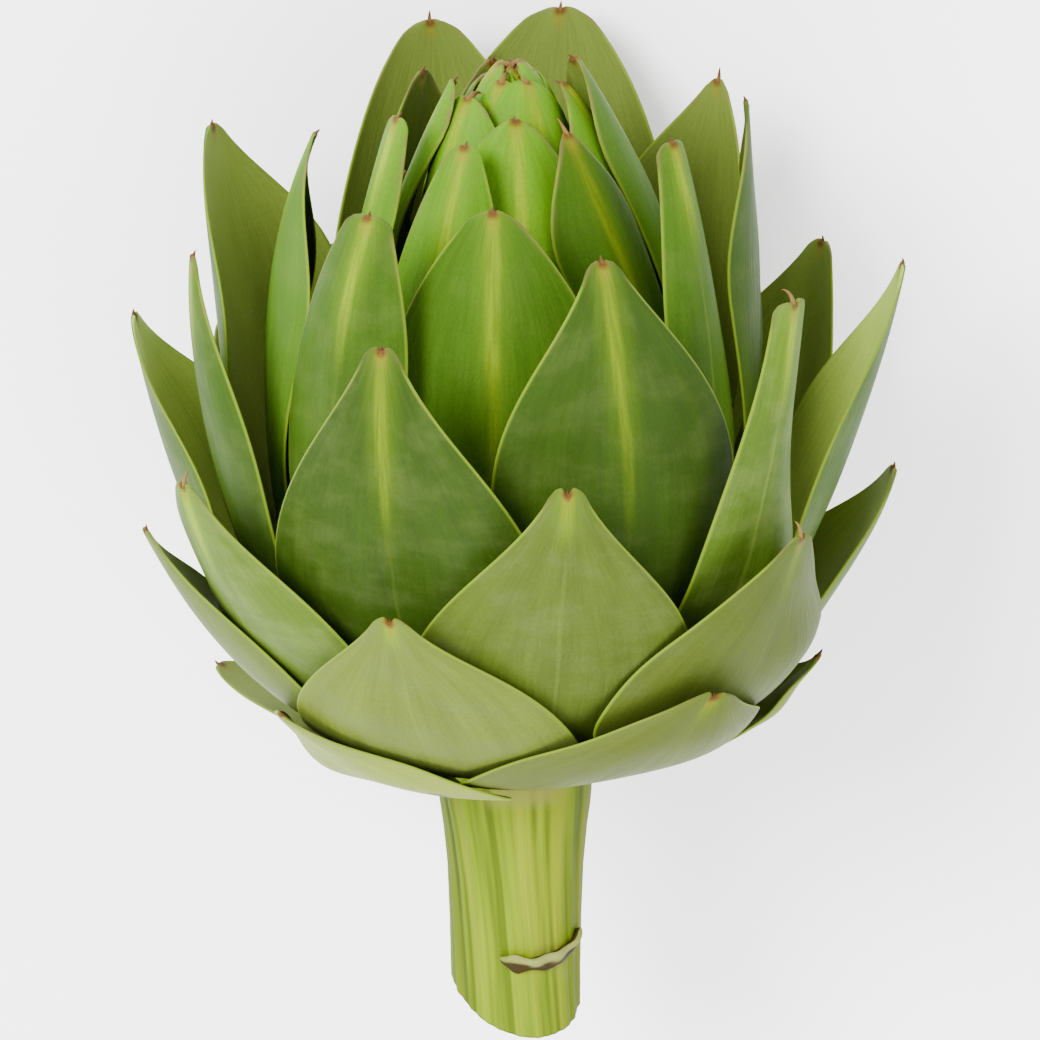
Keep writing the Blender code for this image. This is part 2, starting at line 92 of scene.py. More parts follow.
@dataclass(frozen=True)
class Habit:
    """How one bract strays from the rule of its rank.

    turn and swing are degrees round the axis, tip and shoulder are a radius and a
    height, fold is how much the margins rise inwards, wide multiplies the width, reach
    runs from the tip to the widest place, taper makes the tip slender and blunt is the
    tip's half width as a share of the widest.
    """

    turn: float = 0.0
    swing: float = 0.0
    fold: float = 0.7
    wide: float = 1.0
    reach: float | None = None
    taper: float = 1.2
    blunt: float | None = None
    tip: tuple[float, float] | None = None
    shoulder: tuple[float, float] | None = None


HABITS: dict[int, Habit] = {
    -8: Habit(turn=-7, wide=0.6),
    -6: Habit(turn=3, tip=(47.5, 17.5), wide=0.55),
    -5: Habit(turn=17, swing=-9, tip=(47.5, 17.5), wide=1.1, reach=21),
    -4: Habit(turn=14, tip=(54.8, 22.5), shoulder=(57.8, 11)),
    -3: Habit(turn=1, swing=6, tip=(52.3, 25.3), wide=1.25, reach=25),
    -2: Habit(turn=2, tip=(50, 7)),
    -1: Habit(tip=(51, 29)),
    0: Habit(turn=5.5, tip=(59, 42), fold=0.5, reach=33, taper=1.35),
    1: Habit(tip=(56.1, 44), shoulder=(59.4, 24.5)),
    2: Habit(turn=-13, tip=(58.5, 49), fold=0.9),
    3: Habit(turn=3.5, tip=(60, 42)),
    4: Habit(turn=10, tip=(58, 53), shoulder=(60.8, 32)),
    5: Habit(turn=-1, tip=(60.5, 64), fold=0.4, wide=0.96, reach=41, taper=1.4),
    7: Habit(turn=1, tip=(60.7, 44.5), fold=1.1),
    8: Habit(turn=-11, tip=(61.5, 56), fold=0.9),
    9: Habit(tip=(53.8, 68), shoulder=(56.4, 46)),
    10: Habit(turn=7, tip=(56.5, 86), fold=1.4, wide=0.5, reach=70, taper=1.7, blunt=0.3),
    11: Habit(tip=(61, 69.5), fold=1.0, reach=34),
    12: Habit(turn=3, swing=-5, tip=(60.5, 73.5), fold=1.1),
    13: Habit(turn=-11, swing=3, tip=(58.5, 84.3), fold=0.5, reach=48, taper=1.35),
    14: Habit(tip=(58, 68)),
    15: Habit(turn=17, tip=(61, 80), fold=0.8),
    16: Habit(turn=-9, swing=2, tip=(52.5, 86.7), shoulder=(54, 60), fold=1.1, wide=0.65, reach=50),
    17: Habit(turn=20, swing=-7.6, tip=(46, 109.5), taper=0.72),
    18: Habit(turn=5, swing=-11, tip=(50, 95.6), fold=0.5, wide=0.92, taper=1.3),
    19: Habit(turn=4, tip=(52.5, 97), fold=0.7, reach=32),
    20: Habit(turn=-12.5, tip=(36.3, 106), shoulder=(39.3, 73), wide=0.66, blunt=0.15),
    21: Habit(turn=-17, swing=19, tip=(44, 99.5), fold=0.8, wide=0.55, reach=34, blunt=0.3, taper=1),
    22: Habit(turn=8.5, tip=(42, 109), taper=0.75),
    23: Habit(
        turn=8, swing=-10, tip=(31, 105.5), shoulder=(38.5, 76), fold=1.1, wide=0.42, reach=45, blunt=0.4
    ),
    24: Habit(turn=-6, tip=(31.7, 101.5), shoulder=(46, 72), fold=0.8, wide=0.85),
    25: Habit(turn=-2, tip=(47.5, 100.5), fold=0.9, wide=0.82, reach=27),
    26: Habit(turn=-6, tip=(36, 99.5), fold=0.5, taper=0.85),
    27: Habit(turn=-6, swing=5, tip=(22, 107), fold=0.5),
    28: Habit(turn=6, swing=15, tip=(8.5, 112), shoulder=(22.5, 92), fold=0.6, wide=0.5, taper=0.8),
    29: Habit(turn=-26, swing=22, tip=(22, 107.5), fold=0.8, wide=0.33, reach=20, blunt=0.45, taper=1),
    30: Habit(tip=(22, 102.5)),
    31: Habit(turn=38, swing=-45, tip=(18, 106), wide=0.64, reach=22),
    32: Habit(tip=(16, 93)),
    33: Habit(tip=(15, 90), wide=0.8),
    34: Habit(turn=-14, swing=13, tip=(22, 105.3), wide=0.78, reach=32, taper=1, blunt=0.2),
    35: Habit(turn=-8, tip=(14, 109.8)),
    36: Habit(turn=24, swing=-12, tip=(8.2, 110.3), shoulder=(23, 98), wide=0.9),
    37: Habit(turn=-40, swing=44, tip=(9.5, 110.5), wide=0.4, blunt=0.45),
    38: Habit(tip=(12, 103)),
    39: Habit(turn=-4, swing=-9, tip=(13.5, 107.3), wide=0.9, reach=15, taper=0.85),
    41: Habit(tip=(1.3, 113), shoulder=(15.5, 101)),
    42: Habit(turn=-6, tip=(10.7, 109.3), shoulder=(19.5, 100)),
    44: Habit(turn=-4, swing=-22, tip=(5.5, 111.2), shoulder=(16.5, 101)),
    45: Habit(tip=(2.6, 112.7), shoulder=(15, 101)),
    47: Habit(turn=-10, swing=-7, tip=(5.5, 111.2), shoulder=(13, 101)),
}


@dataclass(frozen=True)
class TipForm:
    """The very end of a bract: a notch in the blade and the spine that stands in it.

    notch and spine are lengths in millimetres, lean is the angle in degrees by which
    the spine curls inwards, pale says how much it keeps the colour of straw, and stout
    multiplies its thickness.
    """

    notch: float = 0.5
    spine: float = 1.1
    lean: float = 25.0
    pale: float = 0.15
    stout: float = 1.0


TIPS: dict[int, TipForm] = {
    -8: TipForm(notch=0.1, spine=0.5, pale=0.0),
    -6: TipForm(notch=0.3, spine=1.0),
    -5: TipForm(notch=0.5, spine=0.8),
    -3: TipForm(notch=1.1, spine=0.4, lean=10, pale=0.1),
    0: TipForm(notch=1.0, spine=0.4, lean=15, pale=0.0, stout=1.2),
    2: TipForm(notch=0.5, spine=2.6, lean=75, pale=0.8),
    5: TipForm(notch=1.3, spine=0.4, lean=20, pale=0.1, stout=1.2),
    8: TipForm(notch=0.5, spine=2.2, lean=70, pale=0.8),
    10: TipForm(notch=0.6, spine=3.0, lean=95, pale=0.6),
    13: TipForm(notch=0.7, spine=0.6, lean=15, pale=0.0, stout=1.2),
    17: TipForm(notch=0.3, spine=1.2, lean=5, pale=0.3),
    18: TipForm(notch=0.4, spine=0.9, lean=15, pale=0.2),
    21: TipForm(notch=0.2, spine=0.7, lean=20, pale=0.1),
    22: TipForm(notch=0.2, spine=1.6, lean=10, pale=0.1),
    23: TipForm(notch=0.3, spine=0.9, lean=15, pale=0.1),
    25: TipForm(notch=0.3, spine=2.0, lean=5, pale=0.1),
    26: TipForm(notch=0.3, spine=0.7, lean=20, pale=0.1),
    31: TipForm(notch=0.2, spine=2.6, lean=30, pale=0.5),
    34: TipForm(notch=0.3, spine=0.8, lean=30, pale=0.2),
    39: TipForm(notch=0.3, spine=0.8, lean=35, pale=0.2),
}

# How far a bract's bright stripe runs down from its tip, in millimetres
STRIPES: dict[int, float] = {
    -3: 8, 0: 9, 2: 16, 5: 13, 13: 42, 18: 52, 21: 30, 26: 62, 31: 60, 34: 62, 37: 40, 39: 62,
}

# How light the outer and the inner face of a bract are, against the rule of its rank; partly each bract's
# own tone and partly painted light and shade, as on the deeply shaded inner faces of ranks 20 and 24
TONES_AND_PAINTED_LIGHT: dict[int, tuple[float, float]] = {
    -8: (1.35, 1.0), -5: (1.5, 1.0), -3: (0.64, 1.0), 2: (0.66, 1.0), 3: (0.95, 1.3), 5: (0.85, 1.0),
    7: (1.0, 1.6), 8: (1.3, 1.0), 10: (1.3, 1.0), 11: (1.0, 3.0), 13: (0.7, 1.0), 15: (1.1, 2.2),
    17: (1.0, 0.8), 18: (0.74, 1.0), 19: (1.0, 1.4), 20: (0.8, 0.34), 21: (1.05, 0.8), 22: (1.0, 0.8),
    23: (1.1, 0.8), 24: (1.3, 0.12), 25: (1.0, 0.8), 26: (0.86, 1.0), 27: (1.0, 0.5), 29: (1.3, 0.8),
    31: (0.5, 1.0), 35: (1.0, 0.5),
}

# Brown blemishes: rank, share of the length, place across and radius
BLEMISHES = ((-5, 0.52, 0.62, 2.4), (-5, 0.60, 0.55, 1.4), (20, 0.9, 0.1, 1.6), (3, 0.55, -0.3, 0.8))


def smoothstep(x: np.ndarray | float) -> np.ndarray:
    """Eases from 0 at 0 to 1 at 1."""
    x = np.clip(x, 0, 1)
    return x * x * (3 - 2 * x)


def stage(column: int, rank: int) -> float:
    """Looks up a growth value, straight between the stages on either side."""
    table = np.array(STAGES, float)
    return float(np.interp(rank, table[:, 0], table[:, column]))


def eased_grid(grid: np.ndarray, rows: np.ndarray, columns: np.ndarray) -> np.ndarray:
    """Reads a small grid of values at many places, on smooth curves through them.

    Args:
        grid: Values on an even grid.
        rows: Places along its first axis, from 0 to 1.
        columns: Places along its second axis, from 0 to 1.

    Returns:
        One value for each row and column.
    """
    for axis, places in ((0, rows), (1, columns)):
        grid = np.moveaxis(grid, axis, 0)
        last = len(grid) - 1
        at = places * last
        low = np.minimum(at.astype(int), last - 1)
        f = (at - low)[:, None]
        a, b, c, d = (grid[np.clip(low + k, 0, last)] for k in (-1, 0, 1, 2))
        slope_b, slope_c = (c - a) / 2, (d - b) / 2
        grid = (
            (2 * f**3 - 3 * f**2 + 1) * b
            + (f**3 - 2 * f**2 + f) * slope_b
            + (3 * f**2 - 2 * f**3) * c
            + (f**3 - f**2) * slope_c
        )
        grid = np.moveaxis(grid, 0, axis)
    return grid


def blurred(grid: np.ndarray, rounds: int) -> np.ndarray:
    """Softens a grid of values.

    Args:
        grid: The values.
        rounds: How often each is averaged with its neighbours.

    Returns:
        The softened grid.
    """
    for _ in range(rounds):
        edged = np.pad(grid, 1, mode="edge")
        beside = edged[:-2, 1:-1] + edged[2:, 1:-1] + edged[1:-1, :-2] + edged[1:-1, 2:]
        grid = (grid * 2 + beside) / 6
    return grid


def widened(grid: np.ndarray, rounds: int) -> np.ndarray:
    """Spreads the highest values of a grid into the cells around them.

    Args:
        grid: The values.
        rounds: How many cells far they spread.

    Returns:
        The widened grid.
    """
    for _ in range(rounds):
        edged = np.pad(grid, 1, mode="edge")
        grid = np.max(
            [grid, edged[:-2, 1:-1], edged[2:, 1:-1], edged[1:-1, :-2], edged[1:-1, 2:]], axis=0
        )
    return grid


def laid(points: np.ndarray) -> np.ndarray:
    """Takes points of the upright head to where it lies, in metres.

    Args:
        points: Points in millimetres, in the upright head's own axes.

    Returns:
        The same points in the part's frame.
    """
    x, y, z = points[..., 0], points[..., 1], points[..., 2]
    lain = np.stack([x, z, -y], -1) + np.array(HEAD_PLACE)
    lain[..., 2] = np.maximum(lain[..., 2], TABLE_GAP)
    return lain * MM


def upright(points: np.ndarray) -> np.ndarray:
    """Takes points of the part's frame, in metres, back to the upright head's axes."""
    lain = points / MM - np.array(HEAD_PLACE)
    return np.stack([lain[..., 0], -lain[..., 2], lain[..., 1]], -1)


def tube_faces(
    rings: int, sides: int, capped: bool = True, flipped: bool = False
) -> list[tuple[int, ...]]:
    """Lists the faces of a tube whose corners are numbered ring by ring.

    Args:
        rings: The number of its rings.
        sides: The number of corners in each.
        capped: Whether both ends close on a corner of their own, numbered after the rings.
        flipped: Whether the faces run the other way round.

    Returns:
        The faces.
    """
    first_end, last_end, last_ring = rings * sides, rings * sides + 1, (rings - 1) * sides
    faces: list[tuple[int, ...]] = []
    for i in range(sides):
        j = (i + 1) % sides
        for start in range(0, last_ring, sides):
            faces.append((start + i, start + j, start + sides + j, start + sides + i))
        if capped:
            faces += [(first_end, j, i), (last_end, last_ring + i, last_ring + j)]
    return [(face[0], *face[:0:-1]) for face in faces] if flipped else faces


def ring(around: np.ndarray, radius: np.ndarray | float, height: np.ndarray | float) -> np.ndarray:
    """Places one ring of points round the axis."""
    return np.stack([radius * np.sin(around), -radius * np.cos(around), height + 0 * around], 1)


@dataclass
class Blade:
    """The middle surface of one bract, over s (0 base to 1 tip) and t (-1 to 1 across)."""

    rank: int
    thickness: float = 1.05
    tip_share: float = 0.1
    tip_reach: float = 1.5
    follows: float = 0.6  # how far the shoulder goes with a tip that strays
    bud_tip_share: float = 0.25
    cap_length: float = 2.2
    lowest_widest: float = 0.8  # how far from the tip the widest place may lie, as a share
    base_share: float = 0.6  # the base's half width at most, as a share of the widest
    base_width: float = 0.345  # and as a share of its radius
    turned_by: float = 0.5
    tip_zone: float = 4.5  # the length of the finely shaped tip
    notch_width: float = 0.25  # as a share of the half width
    free_from: float = 0.4  # the share of the length from which the margins rise
    least_width: float = 8.0
    least_hoop: float = 10.0
    solid_rows: int = 8
    solid_columns: int = 4
    solid_spine: float = 0.7
    solid_within: tuple[float, float] = (-1.5, 14.0)  # how far out its face is looked for
    out_of_reach: float = 50.0

    def __post_init__(self) -> None:
        """Works out the midrib and the outline."""
        self.habit = HABITS.get(self.rank, Habit())
        self.in_bud = self.rank >= FIRST_BUD_RANK
        self.tip_form = TIPS.get(self.rank, TipForm())
        if self.in_bud:
            self.tip_form = TipForm(notch=0.1, spine=2.7, lean=80, pale=0.15, stout=1.4)
            self.tip_share = self.bud_tip_share
        self.tip_share = self.habit.blunt or self.tip_share
        base, belly, shoulder, usual_tip = (
            np.array([stage(c, self.rank), stage(c + 1, self.rank)]) for c in (1, 3, 5, 7)
        )
        tip = np.array(self.habit.tip or usual_tip)
        shoulder = np.array(
            self.habit.shoulder if self.habit.shoulder else shoulder + self.follows * (tip - usual_tip)
        )
        tip = tip + (tip - shoulder) / np.linalg.norm(tip - shoulder) * self.tip_reach
        self.handles = (base, belly, shoulder, tip)
        self.azimuth = FIRST_AZIMUTH - GOLDEN_ANGLE * self.rank
        self.half_width = stage(9, self.rank) * self.habit.wide
        self.base_half_width = min(self.base_share * self.half_width, self.base_width * base[0])
        along = np.linspace(0, 1, 201)
        steps = np.linalg.norm(np.diff(self.midrib(along), axis=0), axis=1)
        run = np.concatenate([[0], np.cumsum(steps)])
        self.length = float(run[-1])
        self.by_length = (run / run[-1], along)
        reach = self.habit.reach or stage(10, self.rank) * self.half_width
        self.widest = min(reach, self.lowest_widest * self.length)

    @property
    def grown(self) -> float:
        """How far in the bract stands, from 0 outermost to 1 innermost."""
        return (self.rank - FIRST_RANK) / (LAST_RANK - FIRST_RANK)

    def midrib(self, u: np.ndarray) -> np.ndarray:
        """Places points on the midrib.

        Args:
            u: The curve's own parameter, 0 to 1.

        Returns:
            Radius and height for each.
        """
        a, b, c, d = self.handles
        u = np.asarray(u)[..., None]
        v = 1 - u
        return v**3 * a + 3 * v * v * u * b + 3 * v * u * u * c + u**3 * d

    def direction(self, u: np.ndarray) -> np.ndarray:
        """Finds the midrib's unit direction, towards the tip.

        Args:
            u: The curve's own parameter, 0 to 1.

        Returns:
            A unit vector of radius and height for each.
        """
        a, b, c, d = self.handles
        u = np.asarray(u)[..., None]
        v = 1 - u
        run = v * v * (b - a) + 2 * v * u * (c - b) + u * u * (d - c)
        return run / np.linalg.norm(run, axis=-1, keepdims=True)

    def half_width_at(self, s: np.ndarray) -> np.ndarray:
        """Gives the outline's half width.

        Args:
            s: Share of the length.

        Returns:
            The half width in millimetres.
        """
        from_tip = self.length * (1 - s)
        swell = np.sin(np.clip(from_tip / self.widest, 0, 1) * math.pi / 2) ** self.habit.taper
        upper = self.tip_share + (1 - self.tip_share) * swell
        narrowed = self.base_half_width / self.half_width
        down = (from_tip - self.widest) / (self.length - self.widest)
        lower = 1 - (1 - narrowed) * smoothstep(down)
        return self.half_width * np.where(from_tip < self.widest, upper, lower)

    def rounded_tip(self, s: np.ndarray, t: np.ndarray) -> tuple[np.ndarray, np.ndarray]:
        """Bends the straight end of the strip into a blunt round cap.

        Args:
            s: Share of the length.
            t: Place across.

        Returns:
            The bent s and t.
        """
        start = 1 - self.cap_length / self.length
        past = np.clip((s - start) / (1 - start), 0, 1)
        across = t * np.sqrt(1 - past * past / 2)
        past = past * np.sqrt(1 - t * t / 2)
        return np.where(s > start, start + past * (1 - start), s), across

    def surface(self, s: np.ndarray, t: np.ndarray, notch: float = 0.0) -> tuple[np.ndarray, np.ndarray]:
        """Places points of the blade before its neighbours press it outwards.

        Args:
            s: Share of the length.
            t: Place across.
            notch: Depth of the notch at the tip.

        Returns:
            The points, and the outward direction at each.
        """
        s, t = self.rounded_tip(s, t)
        near_end = smoothstep(1 - self.length * (1 - s) / self.tip_zone)
        s = s - notch / self.length * np.exp(-((t / self.notch_width) ** 2)) * near_end
        across = t * self.half_width_at(s)
        u = np.interp(s, *self.by_length)
        centre = self.midrib(u)
        along = self.direction(u)
        inward = np.stack([-along[..., 1], along[..., 0]], -1)
        free = smoothstep((s - self.free_from) / (1 - self.free_from))
        bend = self.habit.fold * free / max(self.half_width, self.least_width) + 1e-6
        side = np.sin(bend * across) / bend
        rise = (1 - np.cos(bend * across)) / bend
        hoop = np.maximum(centre[..., 0], self.least_hoop)
        radial = centre[..., 0] - hoop * (1 - np.cos(side / hoop)) + inward[..., 0] * rise
        sideways = hoop * np.sin(side / hoop)
        height = centre[..., 1] + inward[..., 1] * rise
        turned = self.azimuth + self.habit.turn * smoothstep(s / self.turned_by)
        turned = np.radians(turned + self.habit.swing * s * s)
        sin, cos = np.sin(turned), np.cos(turned)
        x = radial * sin + sideways * cos
        y = -radial * cos + sideways * sin
        around = np.arctan2(x, -y)
        out = [-inward[..., 0] * np.sin(around), inward[..., 0] * np.cos(around), -inward[..., 1]]
        return np.stack([x, y, height], -1), np.stack(out, -1)

    def solid_push(self, solid: np.ndarray) -> np.ndarray:
        """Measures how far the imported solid's blade stands out from its own rule.

        Args:
            solid: Corner points of the solid, upright, in millimetres.

        Returns:
            The distance at each point of the solid's grid.
        """
        rows = np.linspace(0, 1, self.solid_rows + 1)
        columns = np.linspace(-1, 1, self.solid_columns + 1)
        points, out = self.surface(*np.meshgrid(rows, columns, indexing="ij"))
        middle = self.solid_columns // 2
        last = points[-1, middle] - points[-2, middle]
        points[-1, middle] += last / np.linalg.norm(last) * self.solid_spine
        nearest, farthest = self.solid_within
        push = np.zeros(points.shape[:2])
        for i, j in np.ndindex(push.shape):
            offset = solid - points[i, j]
            run = offset @ out[i, j]
            beside = np.linalg.norm(offset - run[:, None] * out[i, j], axis=1)
            beside[(run < nearest) | (run > farthest)] += self.out_of_reach
            push[i, j] = run[np.argsort(beside)[:2]].mean()
        return push


@dataclass
class Pressing:
    """Keeps each bract clear of the finished ones within it."""

    reach: float = 9.0
    depth: float = 5.0
    clearance: float = 0.12
    rounds: int = 2
    near: float = 80.0  # degrees round the axis
    room: float = 1.4  # of half the thickness
    least_facing: float = 0.15
    least_push: float = 0.02
    most_in_bud: float = 0.35
    placed: list[tuple[float, np.ndarray]] = field(default_factory=list)

    def add(self, blade: Blade, skin: np.ndarray) -> None:
        """Remembers a finished bract, at half its fineness."""
        self.placed.append((blade.azimuth, skin[::2, ::2]))

    def tree_near(self, blade: Blade) -> BVHTree | None:
        """Gathers what stands within a bract, on its own side of the head.

        Args:
            blade: The bract to be placed.

        Returns:
            A search tree of the faces, or nothing where none is placed yet.
        """
        points: list[np.ndarray] = []
        faces: list[tuple[int, ...]] = []
        count = 0
        for azimuth, skin in self.placed:
            apart = abs((azimuth - blade.azimuth + 180) % 360 - 180)
            if apart > self.near:
                continue
            rows, columns = skin.shape[:2]
            index = np.arange(rows * columns).reshape(rows, columns) + count
            corners = (index[:-1, :-1], index[1:, :-1], index[1:, 1:], index[:-1, 1:])
            faces += list(map(tuple, np.stack([c.ravel() for c in corners], 1).tolist()))
            points.append(skin.reshape(-1, 3))
            count += rows * columns
        if not faces:
            return None
        return BVHTree.FromPolygons(np.concatenate(points).tolist(), faces)

    def clear(self, blade: Blade, points: np.ndarray, out: np.ndarray, half: np.ndarray) -> np.ndarray:
        """Moves a blade outwards just far enough to clear what lies within it.

        Args:
            blade: The bract.
            points: Its middle surface.
            out: The outward direction at each point.
            half: Half its thickness at each point.

        Returns:
            The moved points.
        """
        tree = self.tree_near(blade)
        if tree is None:
            return points
        for _ in range(self.rounds):
            push = np.zeros(points.shape[:2])
            for i, j in np.ndindex(push.shape):
                way = Vector(out[i, j])
                start = Vector(points[i, j]) + way * self.reach
                place, normal, _, run = tree.ray_cast(start, -way, self.reach + self.depth)
                if place is not None and abs(normal.dot(way)) > self.least_facing:
                    room = half[i, j] * self.room + self.clearance
                    push[i, j] = max(0.0, self.reach - run + room)
            if push.max() < self.least_push:
                break
            push = np.maximum(push, blurred(widened(push, 2), 5))
            if blade.in_bud:
                push = np.minimum(push, self.most_in_bud)
            points = points + out * push[..., None]
        return points


@dataclass
class BladeMesh:
    """Builds the closed mesh of one bract: two skins, a thin rounded margin and a spine."""

    blade: Blade
    rows: int = 52
    tip_rows: int = 12
    columns: int = 30
    margin_share: float = 0.42
    tip_thickness: float = 0.8
    margin_fall: float = 2.2  # the power by which the blade thins outwards
    edge_round: float = 1.3
    ripple: float = 0.35
    waves: int = 5
    seed: int = 400  # of rank 0
    spine_sides: int = 8
    spine_rings: int = 9
    spine_radius: float = 0.42
    spine_root: float = 0.8  # how deep the spine is set in the blade

    def __post_init__(self) -> None:
        """Lays out the grid, closer together at the tip, the base and the margins."""
        length = self.blade.length
        near = self.blade.tip_zone / length
        body = np.linspace(0, 1 - near, self.rows - self.tip_rows)
        ease = np.linspace(0, 1, self.tip_rows + 1)[1:]
        tip = 1 - near + near * (1 - (1 - ease) ** 1.6)
        start = np.array([0, 0.15, 0.5]) / length
        self.s = np.concatenate([start, body[1:], tip])
        self.t = np.sin(np.linspace(-1, 1, self.columns + 1) * math.pi / 2)
        self.grid_s, self.grid_t = np.meshgrid(self.s, self.t, indexing="ij")
        width = self.blade.half_width_at(self.grid_s)
        self.from_tip = (1 - self.grid_s) * length
        self.from_margin = np.minimum((1 - np.abs(self.grid_t)) * width, self.from_tip)
        self.half = self._half_thickness()

    def _half_thickness(self) -> np.ndarray:
        """Thins the blade towards its margins and rounds its edge.

        Returns:
            Half the thickness at each point of the grid.
        """
        blade = self.blade
        whole = 1 + (self.tip_thickness - 1) * smoothstep((self.grid_s - 0.5) / 0.5)
        across = 1 - (1 - self.margin_share) * np.abs(self.grid_t) ** self.margin_fall
        half = blade.thickness / 2 * whole * across
        edge = np.minimum(self.from_margin, self.grid_s * blade.length)
        rounding = 1 - np.clip(edge / (half * self.edge_round + 1e-6), 0, 1)
        return half * np.sqrt(np.clip(1 - rounding**2, 0, 1))

    def _unevenness(self) -> np.ndarray:
        """Waves the free part of the blade a little, by a rule seeded from its rank.

        Returns:
            How far each point of the grid stands out.
        """
        rng = np.random.default_rng(self.seed + self.blade.rank)
        wave = np.zeros(self.grid_s.shape)
        for _ in range(self.waves):
            along, across = rng.uniform(1.2, 5.0), rng.uniform(0.3, 2.2)
            phase_s, phase_t = rng.uniform(0, math.tau, 2)
            wave += np.sin(along * math.tau / 2 * self.grid_s + phase_s) * np.sin(
                across * math.tau / 2 * self.grid_t + phase_t
            )
        free = smoothstep((self.grid_s - 0.3) / 0.4)
        return wave / self.waves * self.ripple * free * (0.5 + 0.5 * np.abs(self.grid_t))

    def middle(self, solid: np.ndarray | None, pressing: Pressing) -> tuple[np.ndarray, np.ndarray]:
        """Places the middle surface where the solid has it, clear of what is within.

        Args:
            solid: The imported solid's corners, or nothing for a bract of the bud.
            pressing: The finished bracts.

        Returns:
            The points and the outward directions.
        """
        points, out = self.blade.surface(self.grid_s, self.grid_t, self.blade.tip_form.notch)
        push = self._unevenness()
        if solid is not None:
            push = push + eased_grid(self.blade.solid_push(solid), self.s, (self.t + 1) / 2)
        points = points + out * push[..., None]
        return pressing.clear(self.blade, points, out, self.half), out

    def normals(self, points: np.ndarray, out: np.ndarray) -> np.ndarray:
        """Finds unit normals of a surface, turned to the outer side.

        Args:
            points: The surface.
            out: The outward direction at each point.

        Returns:
            A normal for each point.
        """
        across = np.gradient(points, axis=1)
        along = np.gradient(points, axis=0)
        normal = np.cross(along, across)
        normal /= np.linalg.norm(normal, axis=-1, keepdims=True) + 1e-12
        facing = np.sign((normal * out).sum(-1))[len(normal) // 2, normal.shape[1] // 2]
        return normal * facing

    def spine(self, points: np.ndarray, normal: np.ndarray) -> tuple[np.ndarray, list[tuple[int, ...]]]:
        """Builds the little spine that stands in the notch.

        Args:
            points: The blade's middle surface.
            normal: Its outward normals.

        Returns:
            The spine's points and faces.
        """
        form = self.blade.tip_form
        centre = self.columns // 2
        end = points[-1, centre]
        ahead = end - points[-4, centre]
        ahead /= np.linalg.norm(ahead)
        inward = -normal[-3, centre]
        side = np.cross(ahead, inward)
        side /= np.linalg.norm(side)
        inward = np.cross(side, ahead)
        share = np.linspace(0, 1, self.spine_rings)
        total = form.spine + self.spine_root
        angle = math.radians(form.lean) * share**1.5
        steps = np.diff(share, prepend=0)[:, None] * total
        ways = np.cos(angle)[:, None] * ahead + np.sin(angle)[:, None] * inward
        path = end - ahead * self.spine_root + np.cumsum(ways * steps, axis=0)
        taper = (1 - share) ** 0.8 * np.where(share < 0.15, 1.0, 0.95)
        radius = self.spine_radius * form.stout * taper + 0.06
        around = np.linspace(0, math.tau, self.spine_sides, endpoint=False)
        turned_in = np.cos(angle)[:, None] * inward - np.sin(angle)[:, None] * ahead
        rings = (
            path[:, None]
            + radius[:, None, None] * np.cos(around)[None, :, None] * side
            + radius[:, None, None] * np.sin(around)[None, :, None] * turned_in[:, None]
        )
        corners = np.concatenate([rings.reshape(-1, 3), path[:1], path[-1:] + ways[-1:] * 0.08])
        return corners, tube_faces(self.spine_rings, self.spine_sides)


BRACT_TRAITS = (
    "from_tip", "from_base", "from_margin", "aside", "stripe", "grown", "blemish", "up_spine", "pale",
    "tone", "inner_side",
)


def bract_traits(count: int, **given: np.ndarray | float) -> dict[str, np.ndarray]:
    """Gathers the values that the bracts' finishes read, 0 where none is given."""
    return {name: np.broadcast_to(given.get(name, 0.0), count).astype(float) for name in BRACT_TRAITS}


@dataclass
class Skin:
    """A mesh with the values that its finish reads, gathered before it is made."""

    points: list[np.ndarray] = field(default_factory=list)
    faces: list[tuple[int, ...]] = field(default_factory=list)
    slots: list[int] = field(default_factory=list)
    traits: dict[str, list[np.ndarray]] = field(default_factory=dict)
    grain: list[np.ndarray] = field(default_factory=list)
    count: int = 0

    def add(
        self,
        points: np.ndarray,
        faces: list[tuple[int, ...]],
        slot: int,
        traits: dict[str, np.ndarray],
        grain: np.ndarray,
    ) -> None:
        """Adds a stretch of mesh.

        Args:
            points: Its corners.
            faces: Its faces, counted from its own first corner.
            slot: The material slot of its faces.
            traits: A value for each corner, by name.
            grain: The place of each corner in the grain's own flat map.
        """
        self.faces += [tuple(i + self.count for i in face) for face in faces]
        self.slots += [slot] * len(faces)
        self.points.append(points)
        self.grain.append(grain)
        for name, values in traits.items():
            self.traits.setdefault(name, []).append(np.asarray(values, float))
        self.count += len(points)

    def object(self, name: str, materials: list[bpy.types.Material]) -> bpy.types.Object:
        """Makes the object, smooth, with its traits as attributes.

        Args:
            name: The piece's name.
            materials: One for each slot.

        Returns:
            The new object, linked to the scene.
        """
        mesh = bpy.data.meshes.new(name)
        mesh.from_pydata(laid(np.concatenate(self.points)).tolist(), [], self.faces)
        for material in materials:
            mesh.materials.append(material)
        mesh.polygons.foreach_set("material_index", self.slots)
        mesh.shade_smooth()
        for trait, values in self.traits.items():
            attribute = mesh.attributes.new(trait, "FLOAT", "POINT")
            attribute.data.foreach_set("value", np.concatenate(values).astype(np.float32))
        corner = np.zeros(len(mesh.loops), np.int32)
        mesh.loops.foreach_get("vertex_index", corner)
        layer = mesh.uv_layers.new(name="grain")
        layer.uv.foreach_set("vector", np.concatenate(self.grain)[corner].astype(np.float32).ravel())
        mesh.update()
        thing = bpy.data.objects.new(name, mesh)
        bpy.context.scene.collection.objects.link(thing)
        return thing


